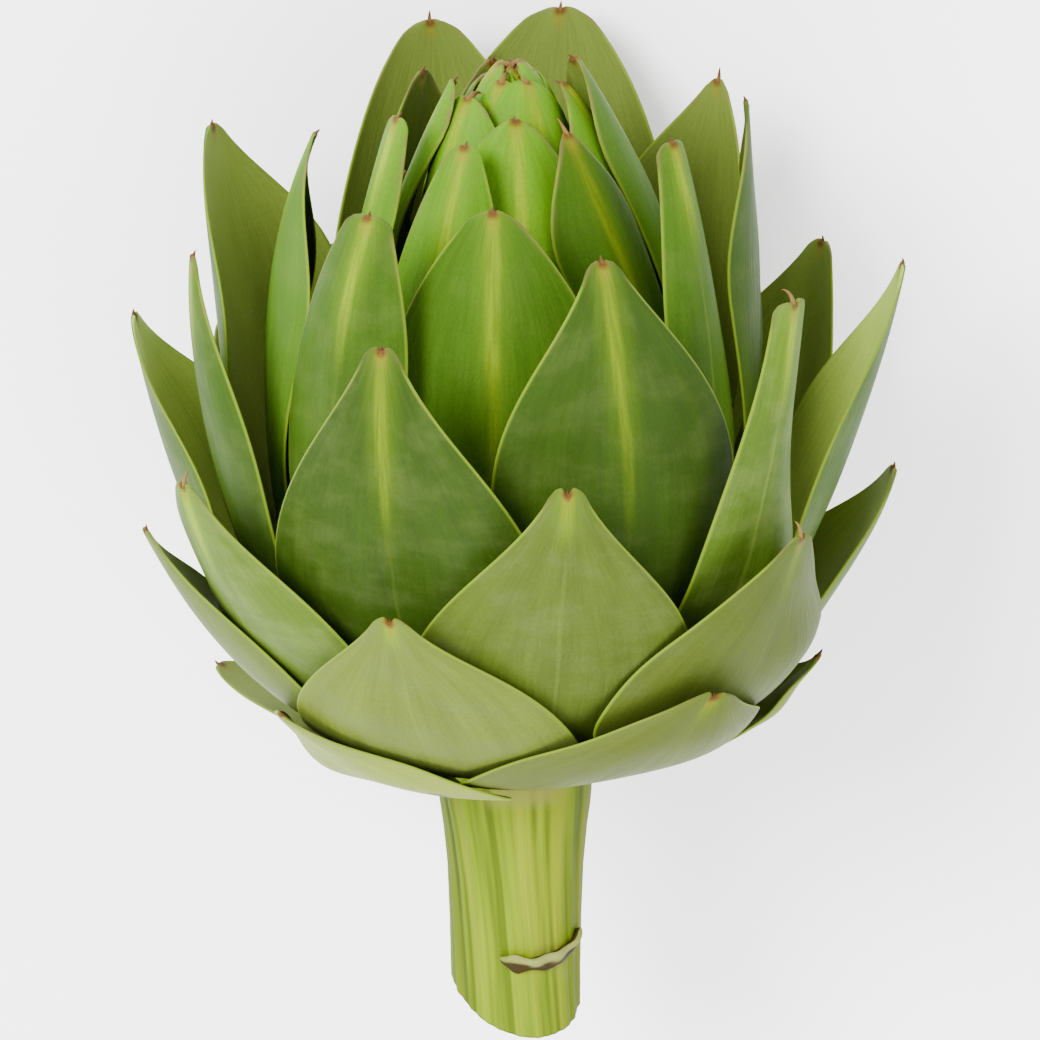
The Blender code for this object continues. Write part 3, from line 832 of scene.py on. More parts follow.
@dataclass
class Wiring:
    """Short ways to add and join the nodes of one node tree."""

    tree: bpy.types.NodeTree

    def node(self, kind: str, **settings: object) -> bpy.types.Node:
        """Adds a node.

        Args:
            kind: The node's type.
            settings: Its properties, by name.

        Returns:
            The new node.
        """
        made = self.tree.nodes.new(kind)
        for name, value in settings.items():
            setattr(made, name, value)
        return made

    def feed(self, socket: bpy.types.NodeSocket, value: object) -> None:
        """Joins a socket to another, or sets its value.

        Args:
            socket: The input to feed.
            value: An output socket, a number or a colour.
        """
        if isinstance(value, bpy.types.NodeSocket):
            self.tree.links.new(value, socket)
        elif socket.type == "RGBA" and len(value) == 3:
            socket.default_value = (*value, 1)
        else:
            socket.default_value = value

    def fed(self, kind: str, inputs: dict[int | str, object], **settings: object) -> bpy.types.Node:
        """Adds a node and feeds its inputs.

        Args:
            kind: The node's type.
            inputs: What each input takes, by its name or place.
            settings: The node's properties, by name.

        Returns:
            The new node.
        """
        made = self.node(kind, **settings)
        for place, value in inputs.items():
            self.feed(made.inputs[place], value)
        return made

    def maths(self, operation: str, first: object, second: object = 0.0) -> bpy.types.NodeSocket:
        """Adds a sum of one or two values."""
        return self.fed("ShaderNodeMath", {0: first, 1: second}, operation=operation).outputs[0]

    def times(self, first: object, *others: object) -> bpy.types.NodeSocket:
        """Multiplies two or more values.

        Args:
            first: The first value.
            others: What it is multiplied by, in order.

        Returns:
            Their product.
        """
        for other in others:
            first = self.maths("MULTIPLY", first, other)
        return first

    def mixed(self, share: object, low: object, high: object, way: str = "MIX") -> bpy.types.NodeSocket:
        """Mixes two colours by a share.

        Args:
            share: How much of the second, from 0 to 1.
            low: The first colour.
            high: The second colour.
            way: The way of mixing.

        Returns:
            The mixed colour.
        """
        inputs = {0: share, 6: low, 7: high}
        settings = {"data_type": "RGBA", "blend_type": way, "clamp_factor": True}
        return self.fed("ShaderNodeMix", inputs, **settings).outputs[2]

    def tinted(self, colour: object, value: object) -> bpy.types.NodeSocket:
        """Multiplies a colour by a value, as by a grey."""
        grey = self.fed("ShaderNodeCombineColor", {0: value, 1: value, 2: value}).outputs[0]
        return self.mixed(1.0, colour, grey, "MULTIPLY")

    def span(
        self, value: object, start: float, end: float, low: float = 0.0, high: float = 1.0
    ) -> bpy.types.NodeSocket:
        """Eases a value's stretch from start to end into low to high."""
        inputs = {"Value": value, "From Min": start, "From Max": end, "To Min": low, "To Max": high}
        return self.fed("ShaderNodeMapRange", inputs, interpolation_type="SMOOTHSTEP").outputs[0]

    def trait(self, name: str) -> bpy.types.NodeSocket:
        """Reads one of the mesh's own values."""
        return self.node("ShaderNodeAttribute", attribute_name=name).outputs["Fac"]

    def flat(self) -> bpy.types.NodeSocket:
        """Reads the flat map of the grain."""
        return self.node("ShaderNodeUVMap", uv_map="grain").outputs[0]

    def noise(
        self, place: object, scale: float, detail: float = 3.0, rough: float = 0.55
    ) -> bpy.types.NodeSocket:
        """Adds a soft random pattern."""
        inputs = {"Vector": place, "Scale": scale, "Detail": detail, "Roughness": rough}
        return self.fed("ShaderNodeTexNoise", inputs).outputs["Fac"]

    def bumped(self, height: object, strength: float, distance: float) -> bpy.types.NodeSocket:
        """Turns a height into a relief."""
        inputs = {"Strength": strength, "Distance": distance, "Height": height}
        return self.fed("ShaderNodeBump", inputs).outputs[0]


def new_finish(name: str) -> tuple[bpy.types.Material, Wiring, bpy.types.Node]:
    """Starts a material.

    Args:
        name: Its name.

    Returns:
        The material, the wiring of its tree and its shader.
    """
    material = bpy.data.materials.new(name)
    material.use_nodes = True
    return material, Wiring(material.node_tree), material.node_tree.nodes["Principled BSDF"]


def grain_group() -> bpy.types.NodeTree:
    """Builds the grain shared by bracts and stem: long fine fibres over broad streaks.

    Returns:
        A node group that puts out fine and broad streaks, blotches, a mottling and a height.
    """
    group = bpy.data.node_groups.new("Plant grain", "ShaderNodeTree")
    face = group.interface
    for name, value in (("Across", 8.0), ("Along", 0.3)):
        socket = face.new_socket(name, in_out="INPUT", socket_type="NodeSocketFloat")
        socket.default_value = value
    for name in ("Fine", "Broad", "Blotch", "Mottle", "Height"):
        face.new_socket(name, in_out="OUTPUT", socket_type="NodeSocketFloat")
    wiring = Wiring(group)
    given = wiring.node("NodeGroupInput")
    parts = wiring.fed("ShaderNodeSeparateXYZ", {0: wiring.flat()})

    def stretched(share_across: float, share_along: float) -> bpy.types.NodeSocket:
        """Stretches the flat map by a share of the group's two scales.

        Args:
            share_across: The share of the scale across.
            share_along: The share of the scale along.

        Returns:
            The stretched place.
        """
        across = wiring.times(given.outputs["Across"], share_across)
        along = wiring.times(given.outputs["Along"], share_along)
        places = {0: wiring.times(parts.outputs[0], across), 1: wiring.times(parts.outputs[1], along)}
        return wiring.fed("ShaderNodeCombineXYZ", places).outputs[0]

    fine = wiring.noise(stretched(1.0, 1.0), 1.0, 4.0, 0.6)
    broad = wiring.noise(stretched(0.22, 0.5), 1.0, 2.0, 0.5)
    blotch = wiring.noise(stretched(0.08, 1.6), 1.0, 3.0, 0.6)
    pores = wiring.noise(stretched(2.4, 16.0), 1.0, 2.0, 0.6)
    height = wiring.maths("ADD", wiring.times(fine, 0.8), wiring.times(pores, 0.25))
    results = {"Fine": fine, "Broad": broad, "Blotch": blotch, "Mottle": pores, "Height": height}
    wiring.fed("NodeGroupOutput", results)
    return group


@dataclass(frozen=True)
class BractFinish:
    """The waxy skin of the bracts, darker inside, with a bright stripe and a bright margin that is partly
    its own light green and partly painted highlight.
    """

    name: str = "waxy bract"
    outermost: tuple[float, float, float] = (0.092, 0.120, 0.014)
    middle: tuple[float, float, float] = (0.024, 0.053, 0.004)
    innermost: tuple[float, float, float] = (0.056, 0.145, 0.001)
    inside: tuple[float, float, float] = (0.100, 0.138, 0.020)
    wax: tuple[float, float, float] = (0.080, 0.108, 0.026)
    stripe: tuple[float, float, float] = (0.125, 0.180, 0.002)
    glow: tuple[float, float, float] = (0.080, 0.150, 0.002)
    base: tuple[float, float, float] = (0.125, 0.150, 0.028)
    margin_and_highlight: tuple[float, float, float] = (0.105, 0.160, 0.008)
    bloom: tuple[float, float, float] = (0.085, 0.065, 0.022)
    flare: tuple[float, float, float] = (0.130, 0.100, 0.008)
    brown: tuple[float, float, float] = (0.055, 0.019, 0.005)
    roughness: float = 0.52
    bump: float = 0.45
    bump_distance: float = 0.00025
    specular: float = 0.05
    grain_across: float = 10.0
    grain_along: float = 0.9

    def material(self, grain: bpy.types.NodeTree) -> bpy.types.Material:
        """Builds the material.

        Args:
            grain: The shared grain group.

        Returns:
            The finished material.
        """
        material, wiring, shader = new_finish(self.name)
        scales = {"Across": self.grain_across, "Along": self.grain_along}
        fibres = wiring.fed("ShaderNodeGroup", scales, node_tree=grain)
        colour = self.ground(wiring, fibres)
        colour = self.striped(wiring, fibres, colour)
        colour = self.edged(wiring, fibres, colour)
        wiring.feed(shader.inputs["Base Color"], colour)
        rough = wiring.span(
            fibres.outputs["Fine"], 0.2, 0.8, self.roughness - 0.08, self.roughness + 0.12
        )
        wiring.feed(shader.inputs["Roughness"], rough)
        normal = wiring.bumped(fibres.outputs["Height"], self.bump, self.bump_distance)
        wiring.feed(shader.inputs["Normal"], normal)
        shader.inputs["Specular IOR Level"].default_value = self.specular
        return material

    def ground(self, wiring: Wiring, fibres: bpy.types.Node) -> bpy.types.NodeSocket:
        """Colours the skin by how far in the bract stands, pale at its base and waxy in patches.

        Args:
            wiring: The material's wiring.
            fibres: The grain.

        Returns:
            The colour.
        """
        broad, blotch = fibres.outputs["Broad"], fibres.outputs["Blotch"]
        grown = wiring.trait("grown")
        colour = wiring.mixed(wiring.span(grown, 0.02, 0.38), self.outermost, self.middle)
        colour = wiring.mixed(wiring.span(grown, 0.42, 0.84), colour, self.innermost)
        pale = wiring.times(wiring.span(wiring.trait("from_base"), 34, 4), wiring.span(grown, 0.3, 0.08))
        colour = wiring.mixed(wiring.times(pale, 0.75), colour, self.base)
        waxy = wiring.times(wiring.span(blotch, 0.42, 0.66), wiring.span(grown, 0.6, 0.1, 0.1, 0.45))
        colour = wiring.mixed(waxy, colour, self.wax)
        return wiring.tinted(colour, wiring.span(broad, 0.3, 0.7, 0.92, 1.07))

    def striped(
        self, wiring: Wiring, fibres: bpy.types.Node, colour: bpy.types.NodeSocket
    ) -> bpy.types.NodeSocket:
        """Lays the stripe and its glow along the outer face, and colours the inner face.

        Args:
            wiring: The material's wiring.
            fibres: The grain.
            colour: The ground.

        Returns:
            The colour.
        """
        fine, inner = fibres.outputs["Fine"], wiring.trait("inner_side")
        wander = wiring.times(wiring.maths("SUBTRACT", fibres.outputs["Broad"], 0.5), 1.6)
        offset = wiring.maths("ABSOLUTE", wiring.maths("ADD", wiring.trait("aside"), wander))
        length = wiring.maths("ADD", wiring.trait("stripe"), 0.01)
        fade = wiring.maths("DIVIDE", wiring.trait("from_tip"), length)
        lit = wiring.times(wiring.span(fade, 1.0, 0.25), wiring.maths("SUBTRACT", 1.0, inner))
        glow = wiring.times(lit, wiring.span(offset, 4.0, 0.3))
        colour = wiring.mixed(wiring.times(glow, 0.45), colour, self.glow)
        stripe = wiring.times(lit, wiring.span(offset, 1.5, 0.2), wiring.span(fine, 0.35, 0.6, 0.5, 1.0))
        colour = wiring.mixed(wiring.times(stripe, 0.85), colour, self.stripe)
        colour = wiring.mixed(wiring.times(inner, 0.85), colour, self.inside)
        colour = wiring.tinted(colour, wiring.span(fine, 0.25, 0.75, 0.9, 1.08))
        crease = wiring.times(wiring.span(offset, 0.45, 0.1), wiring.span(fade, 0.7, 1.3))
        colour = wiring.mixed(wiring.times(crease, 0.3), colour, self.inside)
        mottle = wiring.span(fibres.outputs["Mottle"], 0.3, 0.7, 0.93, 1.07)
        # Each face's tone, partly its own and partly painted light and shade, scales the colour
        return wiring.tinted(colour, wiring.times(mottle, wiring.trait("tone")))

    def edged(
        self, wiring: Wiring, fibres: bpy.types.Node, colour: bpy.types.NodeSocket
    ) -> bpy.types.NodeSocket:
        """Adds the bright margin, partly painted highlight, the dry blush by the tip, the burnt tip and the
        blemishes.

        Args:
            wiring: The material's wiring.
            fibres: The grain.
            colour: The striped skin.

        Returns:
            The colour.
        """
        blotch = fibres.outputs["Blotch"]
        from_tip, from_margin = wiring.trait("from_tip"), wiring.trait("from_margin")
        # Bright line along the margin: partly the edge's own lighter green, partly a painted highlight on
        # the thin edge
        margin_highlight_mask = wiring.times(wiring.span(from_margin, 0.6, 0.15), wiring.span(from_tip, 2, 6))
        colour = wiring.mixed(wiring.times(margin_highlight_mask, 0.8), colour, self.margin_and_highlight)
        blush = wiring.times(
            wiring.span(from_margin, 1.0, 0.0),
            wiring.span(from_tip, 24, 1),
            wiring.span(blotch, 0.4, 0.62),
            wiring.span(wiring.trait("grown"), 0.3, 0.75, 0.35, 0.95),
        )
        colour = wiring.mixed(blush, colour, self.bloom)
        centred = wiring.maths("ABSOLUTE", wiring.trait("aside"))
        flare = wiring.times(wiring.span(from_tip, 4.5, 1.5), wiring.span(centred, 1.5, 0.3))
        colour = wiring.mixed(wiring.times(flare, 0.5), colour, self.flare)
        burnt = wiring.times(wiring.span(from_tip, 1.8, 0.4), wiring.span(centred, 1.5, 0.4))
        colour = wiring.mixed(wiring.times(burnt, 0.9), colour, self.brown)
        blemish = wiring.times(wiring.trait("blemish"), blotch)
        return wiring.mixed(wiring.span(blemish, 0.12, 0.4), colour, self.brown)


@dataclass(frozen=True)
class SpineFinish:
    """The dry spine at a bract's tip, from straw at its foot to red-brown."""

    name: str = "dry spine"
    foot: tuple[float, float, float] = (0.095, 0.050, 0.012)
    point: tuple[float, float, float] = (0.042, 0.016, 0.006)
    straw: tuple[float, float, float] = (0.140, 0.095, 0.026)
    roughness: float = 0.55
    specular: float = 0.05
    speckle: float = 6.0

    def material(self) -> bpy.types.Material:
        """Builds the material.

        Returns:
            The finished material.
        """
        material, wiring, shader = new_finish(self.name)
        colour = wiring.mixed(wiring.span(wiring.trait("up_spine"), 0.25, 0.7), self.foot, self.point)
        colour = wiring.mixed(wiring.trait("pale"), colour, self.straw)
        scale = (self.speckle, self.speckle, 1.0)
        place = wiring.fed("ShaderNodeMapping", {"Vector": wiring.flat(), "Scale": scale}).outputs[0]
        speck = wiring.span(wiring.noise(place, 4.0), 0.5, 0.8, 0.0, 0.5)
        wiring.feed(shader.inputs["Base Color"], wiring.mixed(speck, colour, self.point))
        shader.inputs["Roughness"].default_value = self.roughness
        shader.inputs["Specular IOR Level"].default_value = self.specular
        return material


@dataclass(frozen=True)
class StemFinish:
    """The fibrous stem: pale ribs, rough beige patches, a torn scar, a cut face and painted shade towards
    its sides.
    """

    name: str = "fibrous stem"
    green: tuple[float, float, float] = (0.128, 0.192, 0.001)
    groove: tuple[float, float, float] = (0.062, 0.098, 0.002)
    pale: tuple[float, float, float] = (0.170, 0.210, 0.004)
    beige: tuple[float, float, float] = (0.150, 0.148, 0.030)
    pith: tuple[float, float, float] = (0.170, 0.180, 0.055)
    brown: tuple[float, float, float] = (0.022, 0.014, 0.004)
    roughness: float = 0.58
    bump: float = 0.5
    bump_distance: float = 0.0004
    specular: float = 0.05
    grain_across: float = 11.0
    grain_along: float = 0.4

    def material(self, grain: bpy.types.NodeTree) -> bpy.types.Material:
        """Builds the material.

        Args:
            grain: The shared grain group.

        Returns:
            The finished material.
        """
        material, wiring, shader = new_finish(self.name)
        scales = {"Across": self.grain_across, "Along": self.grain_along}
        fibres = wiring.fed("ShaderNodeGroup", scales, node_tree=grain)
        fine, broad, blotch = (fibres.outputs[name] for name in ("Fine", "Broad", "Blotch"))
        colour = wiring.mixed(wiring.span(wiring.trait("rib"), -0.8, 0.35), self.groove, self.green)
        colour = wiring.mixed(wiring.times(wiring.span(broad, 0.46, 0.66), 0.8), colour, self.pale)
        colour = wiring.mixed(wiring.times(wiring.span(broad, 0.47, 0.33), 0.75), colour, self.groove)
        # Painted shade: the stem is lighter where it faces the front and darker round its sides
        painted_side_shade = wiring.span(wiring.trait("painted_light_facing"), 0.35, 1.0, 0.48, 0.82)
        colour = wiring.tinted(colour, wiring.times(wiring.span(fine, 0.25, 0.75, 0.86, 1.12), painted_side_shade))
        rough_skin = wiring.times(wiring.trait("scabby"), wiring.span(blotch, 0.45, 0.6))
        colour = wiring.mixed(wiring.times(rough_skin, 0.8), colour, self.beige)
        colour = wiring.mixed(wiring.trait("cut"), colour, self.pith)
        colour = wiring.mixed(wiring.span(wiring.trait("torn"), 0.25, 0.95), colour, self.brown)
        wiring.feed(shader.inputs["Base Color"], colour)
        rough = wiring.span(fine, 0.2, 0.8, self.roughness - 0.08, self.roughness + 0.15)
        wiring.feed(shader.inputs["Roughness"], rough)
        height = wiring.maths("ADD", fibres.outputs["Height"], wiring.times(rough_skin, 0.6))
        wiring.feed(shader.inputs["Normal"], wiring.bumped(height, self.bump, self.bump_distance))
        shader.inputs["Specular IOR Level"].default_value = self.specular
        return material


@dataclass(frozen=True)
class FloorFinish:
    """The plain pale floor."""

    name: str = "pale floor"
    colour: tuple[float, float, float] = (0.94, 0.94, 0.94)
    roughness: float = 0.9

    def material(self) -> bpy.types.Material:
        """Builds the material.

        Returns:
            The finished material.
        """
        material, _, shader = new_finish(self.name)
        shader.inputs["Base Color"].default_value = (*self.colour, 1)
        shader.inputs["Roughness"].default_value = self.roughness
        return material


def skin_faces(rows: int, columns: int) -> list[tuple[int, ...]]:
    """Closes two skins of one grid along their shared edge.

    Args:
        rows: Steps along the blade.
        columns: Steps across it.

    Returns:
        The faces of both skins.
    """
    outer = np.arange((rows + 1) * (columns + 1)).reshape(rows + 1, columns + 1)
    inner = outer.copy()
    inside = inner[1:-1, 1:-1]
    inside[...] = outer.size + np.arange(inside.size).reshape(inside.shape)

    def quads(index: np.ndarray) -> list[tuple[int, ...]]:
        """Lists the grid's faces."""
        corners = (index[:-1, :-1], index[:-1, 1:], index[1:, 1:], index[1:, :-1])
        return list(map(tuple, np.stack([c.ravel() for c in corners], 1).tolist()))

    return quads(outer) + [face[::-1] for face in quads(inner)]


@dataclass
class Head:
    """All the bracts, from the closed bud outwards."""

    bract_material: bpy.types.Material
    spine_material: bpy.types.Material
    outer_slot_ranks: int = 17  # the last rank counted among the outer bracts
    usual_stripe: float = 22.0
    pressing: Pressing = field(default_factory=Pressing)

    def build(self) -> list[bpy.types.Object]:
        """Builds every bract, each in place of its own solid.

        Returns:
            The new objects.
        """
        made = []
        for rank in range(LAST_RANK, FIRST_RANK - 1, -1):
            piece = self.bract(rank)
            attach(piece, ROOT_BODY)
            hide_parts(self.node_name(rank))
            made.append(piece)
        LOG.info("%d bracts built", len(made))
        return made

    @staticmethod
    def node_name(rank: int) -> str:
        """Names the solid that a bract stands for."""
        return "inner_bud" if rank >= FIRST_BUD_RANK else f"bract_{rank - FIRST_RANK + 1:02d}"

    def solid_corners(self, rank: int) -> np.ndarray | None:
        """Reads the corners of a bract's own solid.

        Args:
            rank: Its place in the spiral.

        Returns:
            Its corners, upright, in millimetres, or nothing for a bract of the bud.
        """
        if rank >= FIRST_BUD_RANK:
            return None
        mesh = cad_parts[self.node_name(rank)].data
        flat = np.zeros(len(mesh.vertices) * 3, np.float32)
        mesh.vertices.foreach_get("co", flat)
        return upright(np.unique(flat.reshape(-1, 3).astype(float).round(7), axis=0))

    def bract(self, rank: int) -> bpy.types.Object:
        """Builds one bract.

        Args:
            rank: Its place in the spiral.

        Returns:
            The new object.
        """
        blade = Blade(rank)
        shape = BladeMesh(blade)
        points, out = shape.middle(self.solid_corners(rank), self.pressing)
        normal = shape.normals(points, out)
        half = shape.half[..., None]
        outer, inner = points + normal * half, points - normal * half
        self.pressing.add(blade, outer)
        faces = skin_faces(len(shape.s) - 1, shape.columns)
        if self.turned_inside_out(outer, normal):
            faces = [face[::-1] for face in faces]
        corners = np.concatenate([outer.reshape(-1, 3), inner[1:-1, 1:-1].reshape(-1, 3)])
        inside = inner[1:-1, 1:-1, 0].size
        traits = bract_traits(
            outer[..., 0].size + inside,
            # the tone of each face, partly its own and partly painted light and shade
            tone=np.repeat(TONES_AND_PAINTED_LIGHT.get(rank, (1.0, 1.0)), (outer[..., 0].size, inside)),
            inner_side=np.repeat((Side.OUTER.value, Side.INNER.value), (outer[..., 0].size, inside)),
            stripe=STRIPES.get(rank, self.usual_stripe),
            grown=blade.grown,
            **{
                name: np.concatenate([grid.ravel(), grid[1:-1, 1:-1].ravel()])
                for name, grid in self.places(blade, shape).items()
            },
        )
        grain = self.grain_place(blade, shape)
        flat = np.concatenate([grain.reshape(-1, 2), grain[1:-1, 1:-1].reshape(-1, 2)])
        skin = Skin()
        skin.add(corners, faces, 0, traits, flat)
        self.add_spine(skin, blade, shape, points, normal)
        name = f"bud_bract_{rank}" if blade.in_bud else f"fine_bract_{rank - FIRST_RANK + 1:02d}"
        return skin.object(name, [self.bract_material, self.spine_material])

    @staticmethod
    def turned_inside_out(outer: np.ndarray, normal: np.ndarray) -> bool:
        """Tells whether the grid's faces run against its outward normals.

        Args:
            outer: The outer face.
            normal: Its outward normals.

        Returns:
            Whether they do.
        """
        middle = len(outer) // 2
        a, b, c = outer[middle, 3], outer[middle, 4], outer[middle + 1, 4]
        return bool(np.cross(b - a, c - b) @ normal[middle, 3] < 0)

    def places(self, blade: Blade, shape: BladeMesh) -> dict[str, np.ndarray]:
        """Measures where each point of the blade lies on it.

        Args:
            blade: The bract.
            shape: Its grid.

        Returns:
            A grid of values for each name.
        """
        spot = np.zeros(shape.grid_s.shape)
        for rank, s, t, radius in BLEMISHES:
            if rank == blade.rank:
                along = (shape.grid_s - s) * blade.length
                across = (shape.grid_t - t) * blade.half_width_at(shape.grid_s)
                spot = np.maximum(spot, 1 - np.hypot(along, across) / radius)
        return {
            "from_tip": shape.from_tip,
            "from_base": shape.grid_s * blade.length,
            "from_margin": shape.from_margin,
            "aside": shape.grid_t * blade.half_width_at(shape.grid_s),
            "blemish": np.clip(spot, 0, 1),
        }

    @staticmethod
    def grain_place(blade: Blade, shape: BladeMesh) -> np.ndarray:
        """Maps the blade flat in centimetres, so that its fibres meet at the tip.

        Args:
            blade: The bract.
            shape: Its grid.

        Returns:
            A place across and along for each point.
        """
        across = shape.grid_t * blade.half_width / 10 + blade.rank * 7.3
        along = shape.grid_s * blade.length / 10 + blade.rank * 3.1
        return np.stack([across, along], -1)

    def add_spine(
        self, skin: Skin, blade: Blade, shape: BladeMesh, points: np.ndarray, normal: np.ndarray
    ) -> None:
        """Adds the spine at the tip to a bract's mesh.

        Args:
            skin: The mesh to add to.
            blade: The bract.
            shape: Its grid.
            points: Its middle surface.
            normal: Its outward normals.
        """
        corners, faces = shape.spine(points, normal)
        rings = np.repeat(np.linspace(0, 1, shape.spine_rings), shape.spine_sides)
        up = np.concatenate([rings, [0, 1]])
        traits = bract_traits(len(up), tone=1.0, grown=blade.grown, up_spine=up, pale=blade.tip_form.pale)
        skin.add(corners, faces, 1, traits, np.stack([up + blade.rank, up], -1))


@dataclass
class Heart:
    """The plain heart of the bud, which closes the gaps between its bracts."""

    material: bpy.types.Material
    outline: tuple[tuple[float, float], ...] = (
        (0, 110.5), (2.6, 108.6), (6, 101), (9, 89), (10.6, 76),
        (11.7, 58), (12, 42), (11.5, 31), (9, 29), (0, 29),
    )
    sides: int = 40

    def build(self) -> bpy.types.Object:
        """Builds the heart.

        Returns:
            The new object, riding on the root body.
        """
        outline = np.array(self.outline, float)
        around = np.linspace(0, math.tau, self.sides, endpoint=False)
        rings = [ring(around, radius, height) for radius, height in outline[1:-1]]
        ends = [[0, 0, outline[0, 1]], [0, 0, outline[-1, 1]]]
        points = np.concatenate([*rings, ends])
        traits = bract_traits(len(points), from_tip=40.0, from_margin=9.0, grown=1.0, tone=0.5)
        skin = Skin()
        faces = tube_faces(len(rings), self.sides, flipped=True)
        skin.add(points, faces, 0, traits, points[:, [0, 2]] / 10)
        piece = skin.object("bud_heart", [self.material])
        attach(piece, ROOT_BODY)
        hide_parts("inner_bud")
        LOG.info("heart of the bud built")
        return piece


@dataclass
class Stem:
    """The stem with its ribs, slanted cut and torn leaf scar, and the hidden disc above it."""

    material: bpy.types.Material
    disc: tuple[tuple[float, float], ...] = (
        (0, 27.4), (14, 27.1), (24, 25.3), (27.8, 22.8), (29.2, 19.6), (28.4, 16.4), (26.2, 13.2),
        (23.0, 10.1), (19.2, 7.2), (15.2, 4.6), (13.3, 2.4),
    )
    shaft: tuple[tuple[float, float], ...] = (
        (13.3, 2.4), (12.9, -2), (12.4, -8), (11.6, -14), (11.0, -21), (10.7, -30), (10.6, -40), (10.8, -52),
    )
    sides: int = 180
    shaft_rows: int = 110
    ribs: int = 9
    relief: float = 0.192
    ribs_below: float = -4.0
    ribs_grow: float = 6.0  # the length over which they rise
    drift: float = 0.4
    cut_height: float = -42.22
    cut_guess: float = -42.0
    cut_tries: int = 4
    cut_tilt: tuple[float, float] = (25.0, 16.0)
    cut_rings: tuple[float, ...] = (0.985, 0.96, 0.9, 0.8, 0.66, 0.5, 0.34, 0.18)
    hollow: float = 0.7
    lip: float = 0.25

    def build(self) -> list[bpy.types.Object]:
        """Builds the stem and its scar.

        Returns:
            The new objects.
        """
        made = [self.shaft_piece(), Scar(self.material).build()]
        for piece in made:
            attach(piece, ROOT_BODY)
            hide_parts("stem")
        LOG.info("stem built")
        return made

    def rib_height(self, around: np.ndarray, height: np.ndarray) -> np.ndarray:
        """Gives the ribs' relief.

        Args:
            around: The azimuth of each point.
            height: Its height.

        Returns:
            From -1 in a groove to 1 on a ridge.
        """
        turned = around + np.radians(self.drift) * height
        main = 1 - 2 * (0.5 - 0.5 * np.cos(self.ribs * turned + 0.6)) ** 2
        small = 0.6 * np.sin(23 * turned + 1.1) + 0.5 * np.sin(41 * turned + 2.6 + 0.05 * height)
        return np.clip((0.7 * main + small) / 1.4, -1, 1)

    def cut_plane(self, x: np.ndarray, y: np.ndarray) -> np.ndarray:
        """Gives the height of the knife's cut over a place.

        Args:
            x: The place across.
            y: The place from front to back.

        Returns:
            The cut's height there.
        """
        about_x, about_y = (math.radians(a) for a in self.cut_tilt)
        flat_x, flat_y = math.cos(about_x), math.cos(about_y)
        normal = (math.sin(about_y) * flat_x, -math.sin(about_x), flat_y * flat_x)
        return self.cut_height - (normal[0] * x + normal[1] * y) / normal[2]

    def shaft_piece(self) -> bpy.types.Object:
        """Builds the shaft, the disc above it and the cut face below in one mesh.

        Returns:
            The new object.
        """
        around = np.linspace(0, math.tau, self.sides, endpoint=False)
        profile = np.array(self.shaft)
        top = profile[0, 1]
        rows = [ring(around, radius, height) for radius, height in self.disc[1:-1]]
        foot = np.full(self.sides, self.cut_guess)
        for _ in range(self.cut_tries):
            radius = np.interp(-foot, -profile[:, 1], profile[:, 0])
            foot = self.cut_plane(radius * np.sin(around), -radius * np.cos(around))
        for share in np.linspace(0, 1, self.shaft_rows):
            height = top + (foot - top) * share
            radius = np.interp(-height, -profile[:, 1], profile[:, 0])
            deep = np.clip((self.ribs_below - height) / self.ribs_grow, 0, 1)
            radius = radius + deep * self.relief * self.rib_height(around, height)
            rows.append(ring(around, radius, height))
        edge = rows[-1]
        for share in self.cut_rings:
            x, y = edge[:, 0] * share, edge[:, 1] * share
            sunk = self.hollow * smoothstep((1 - share) / 0.5)
            lip = self.lip if share == self.cut_rings[0] else 0.0
            rows.append(np.stack([x, y, self.cut_plane(x, y) + sunk + lip], 1))
        ends = [[0, 0, self.disc[0][1]], [0, 0, self.cut_height + self.hollow]]
        points = np.concatenate([*rows, ends])
        faces = tube_faces(len(rows), self.sides, flipped=True)
        return self.dressed("stem_shaft", points, faces, len(self.cut_rings) * self.sides + 1)

    def dressed(
        self, name: str, points: np.ndarray, faces: list[tuple[int, ...]], cut_points: int
    ) -> bpy.types.Object:
        """Gives a mesh of the stem the values that its finish reads.

        Args:
            name: The piece's name.
            points: Its corners.
            faces: Its faces.
            cut_points: How many of the last corners lie on the cut, with both end corners.

        Returns:
            The new object.
        """
        around = np.arctan2(points[:, 0], -points[:, 1])
        cut = np.zeros(len(points))
        cut[-cut_points:] = 1
        cut[-2] = 0
        scabby = smoothstep((points[:, 2] + 8) / 4) * smoothstep((0.9 - np.abs(around)) / 0.5)
        below_scar = smoothstep(1 - np.hypot((around - 0.5) * 10, points[:, 2] + 36) / 7)
        scabby = np.maximum(scabby, 0.8 * below_scar)
        traits = {
            "rib": self.rib_height(around, points[:, 2]),
            # how far each point faces the front, for the stem's painted shade
            "painted_light_facing": np.cos(around),
            "cut": cut,
            "scabby": scabby,
            "torn": np.zeros(len(points)),
        }
        grain = np.stack([around * 1.1 + np.radians(self.drift) * points[:, 2] * 1.1, points[:, 2] / 10], -1)
        skin = Skin()
        skin.add(points, faces, 0, traits, grain)
        return skin.object(name, [self.material])


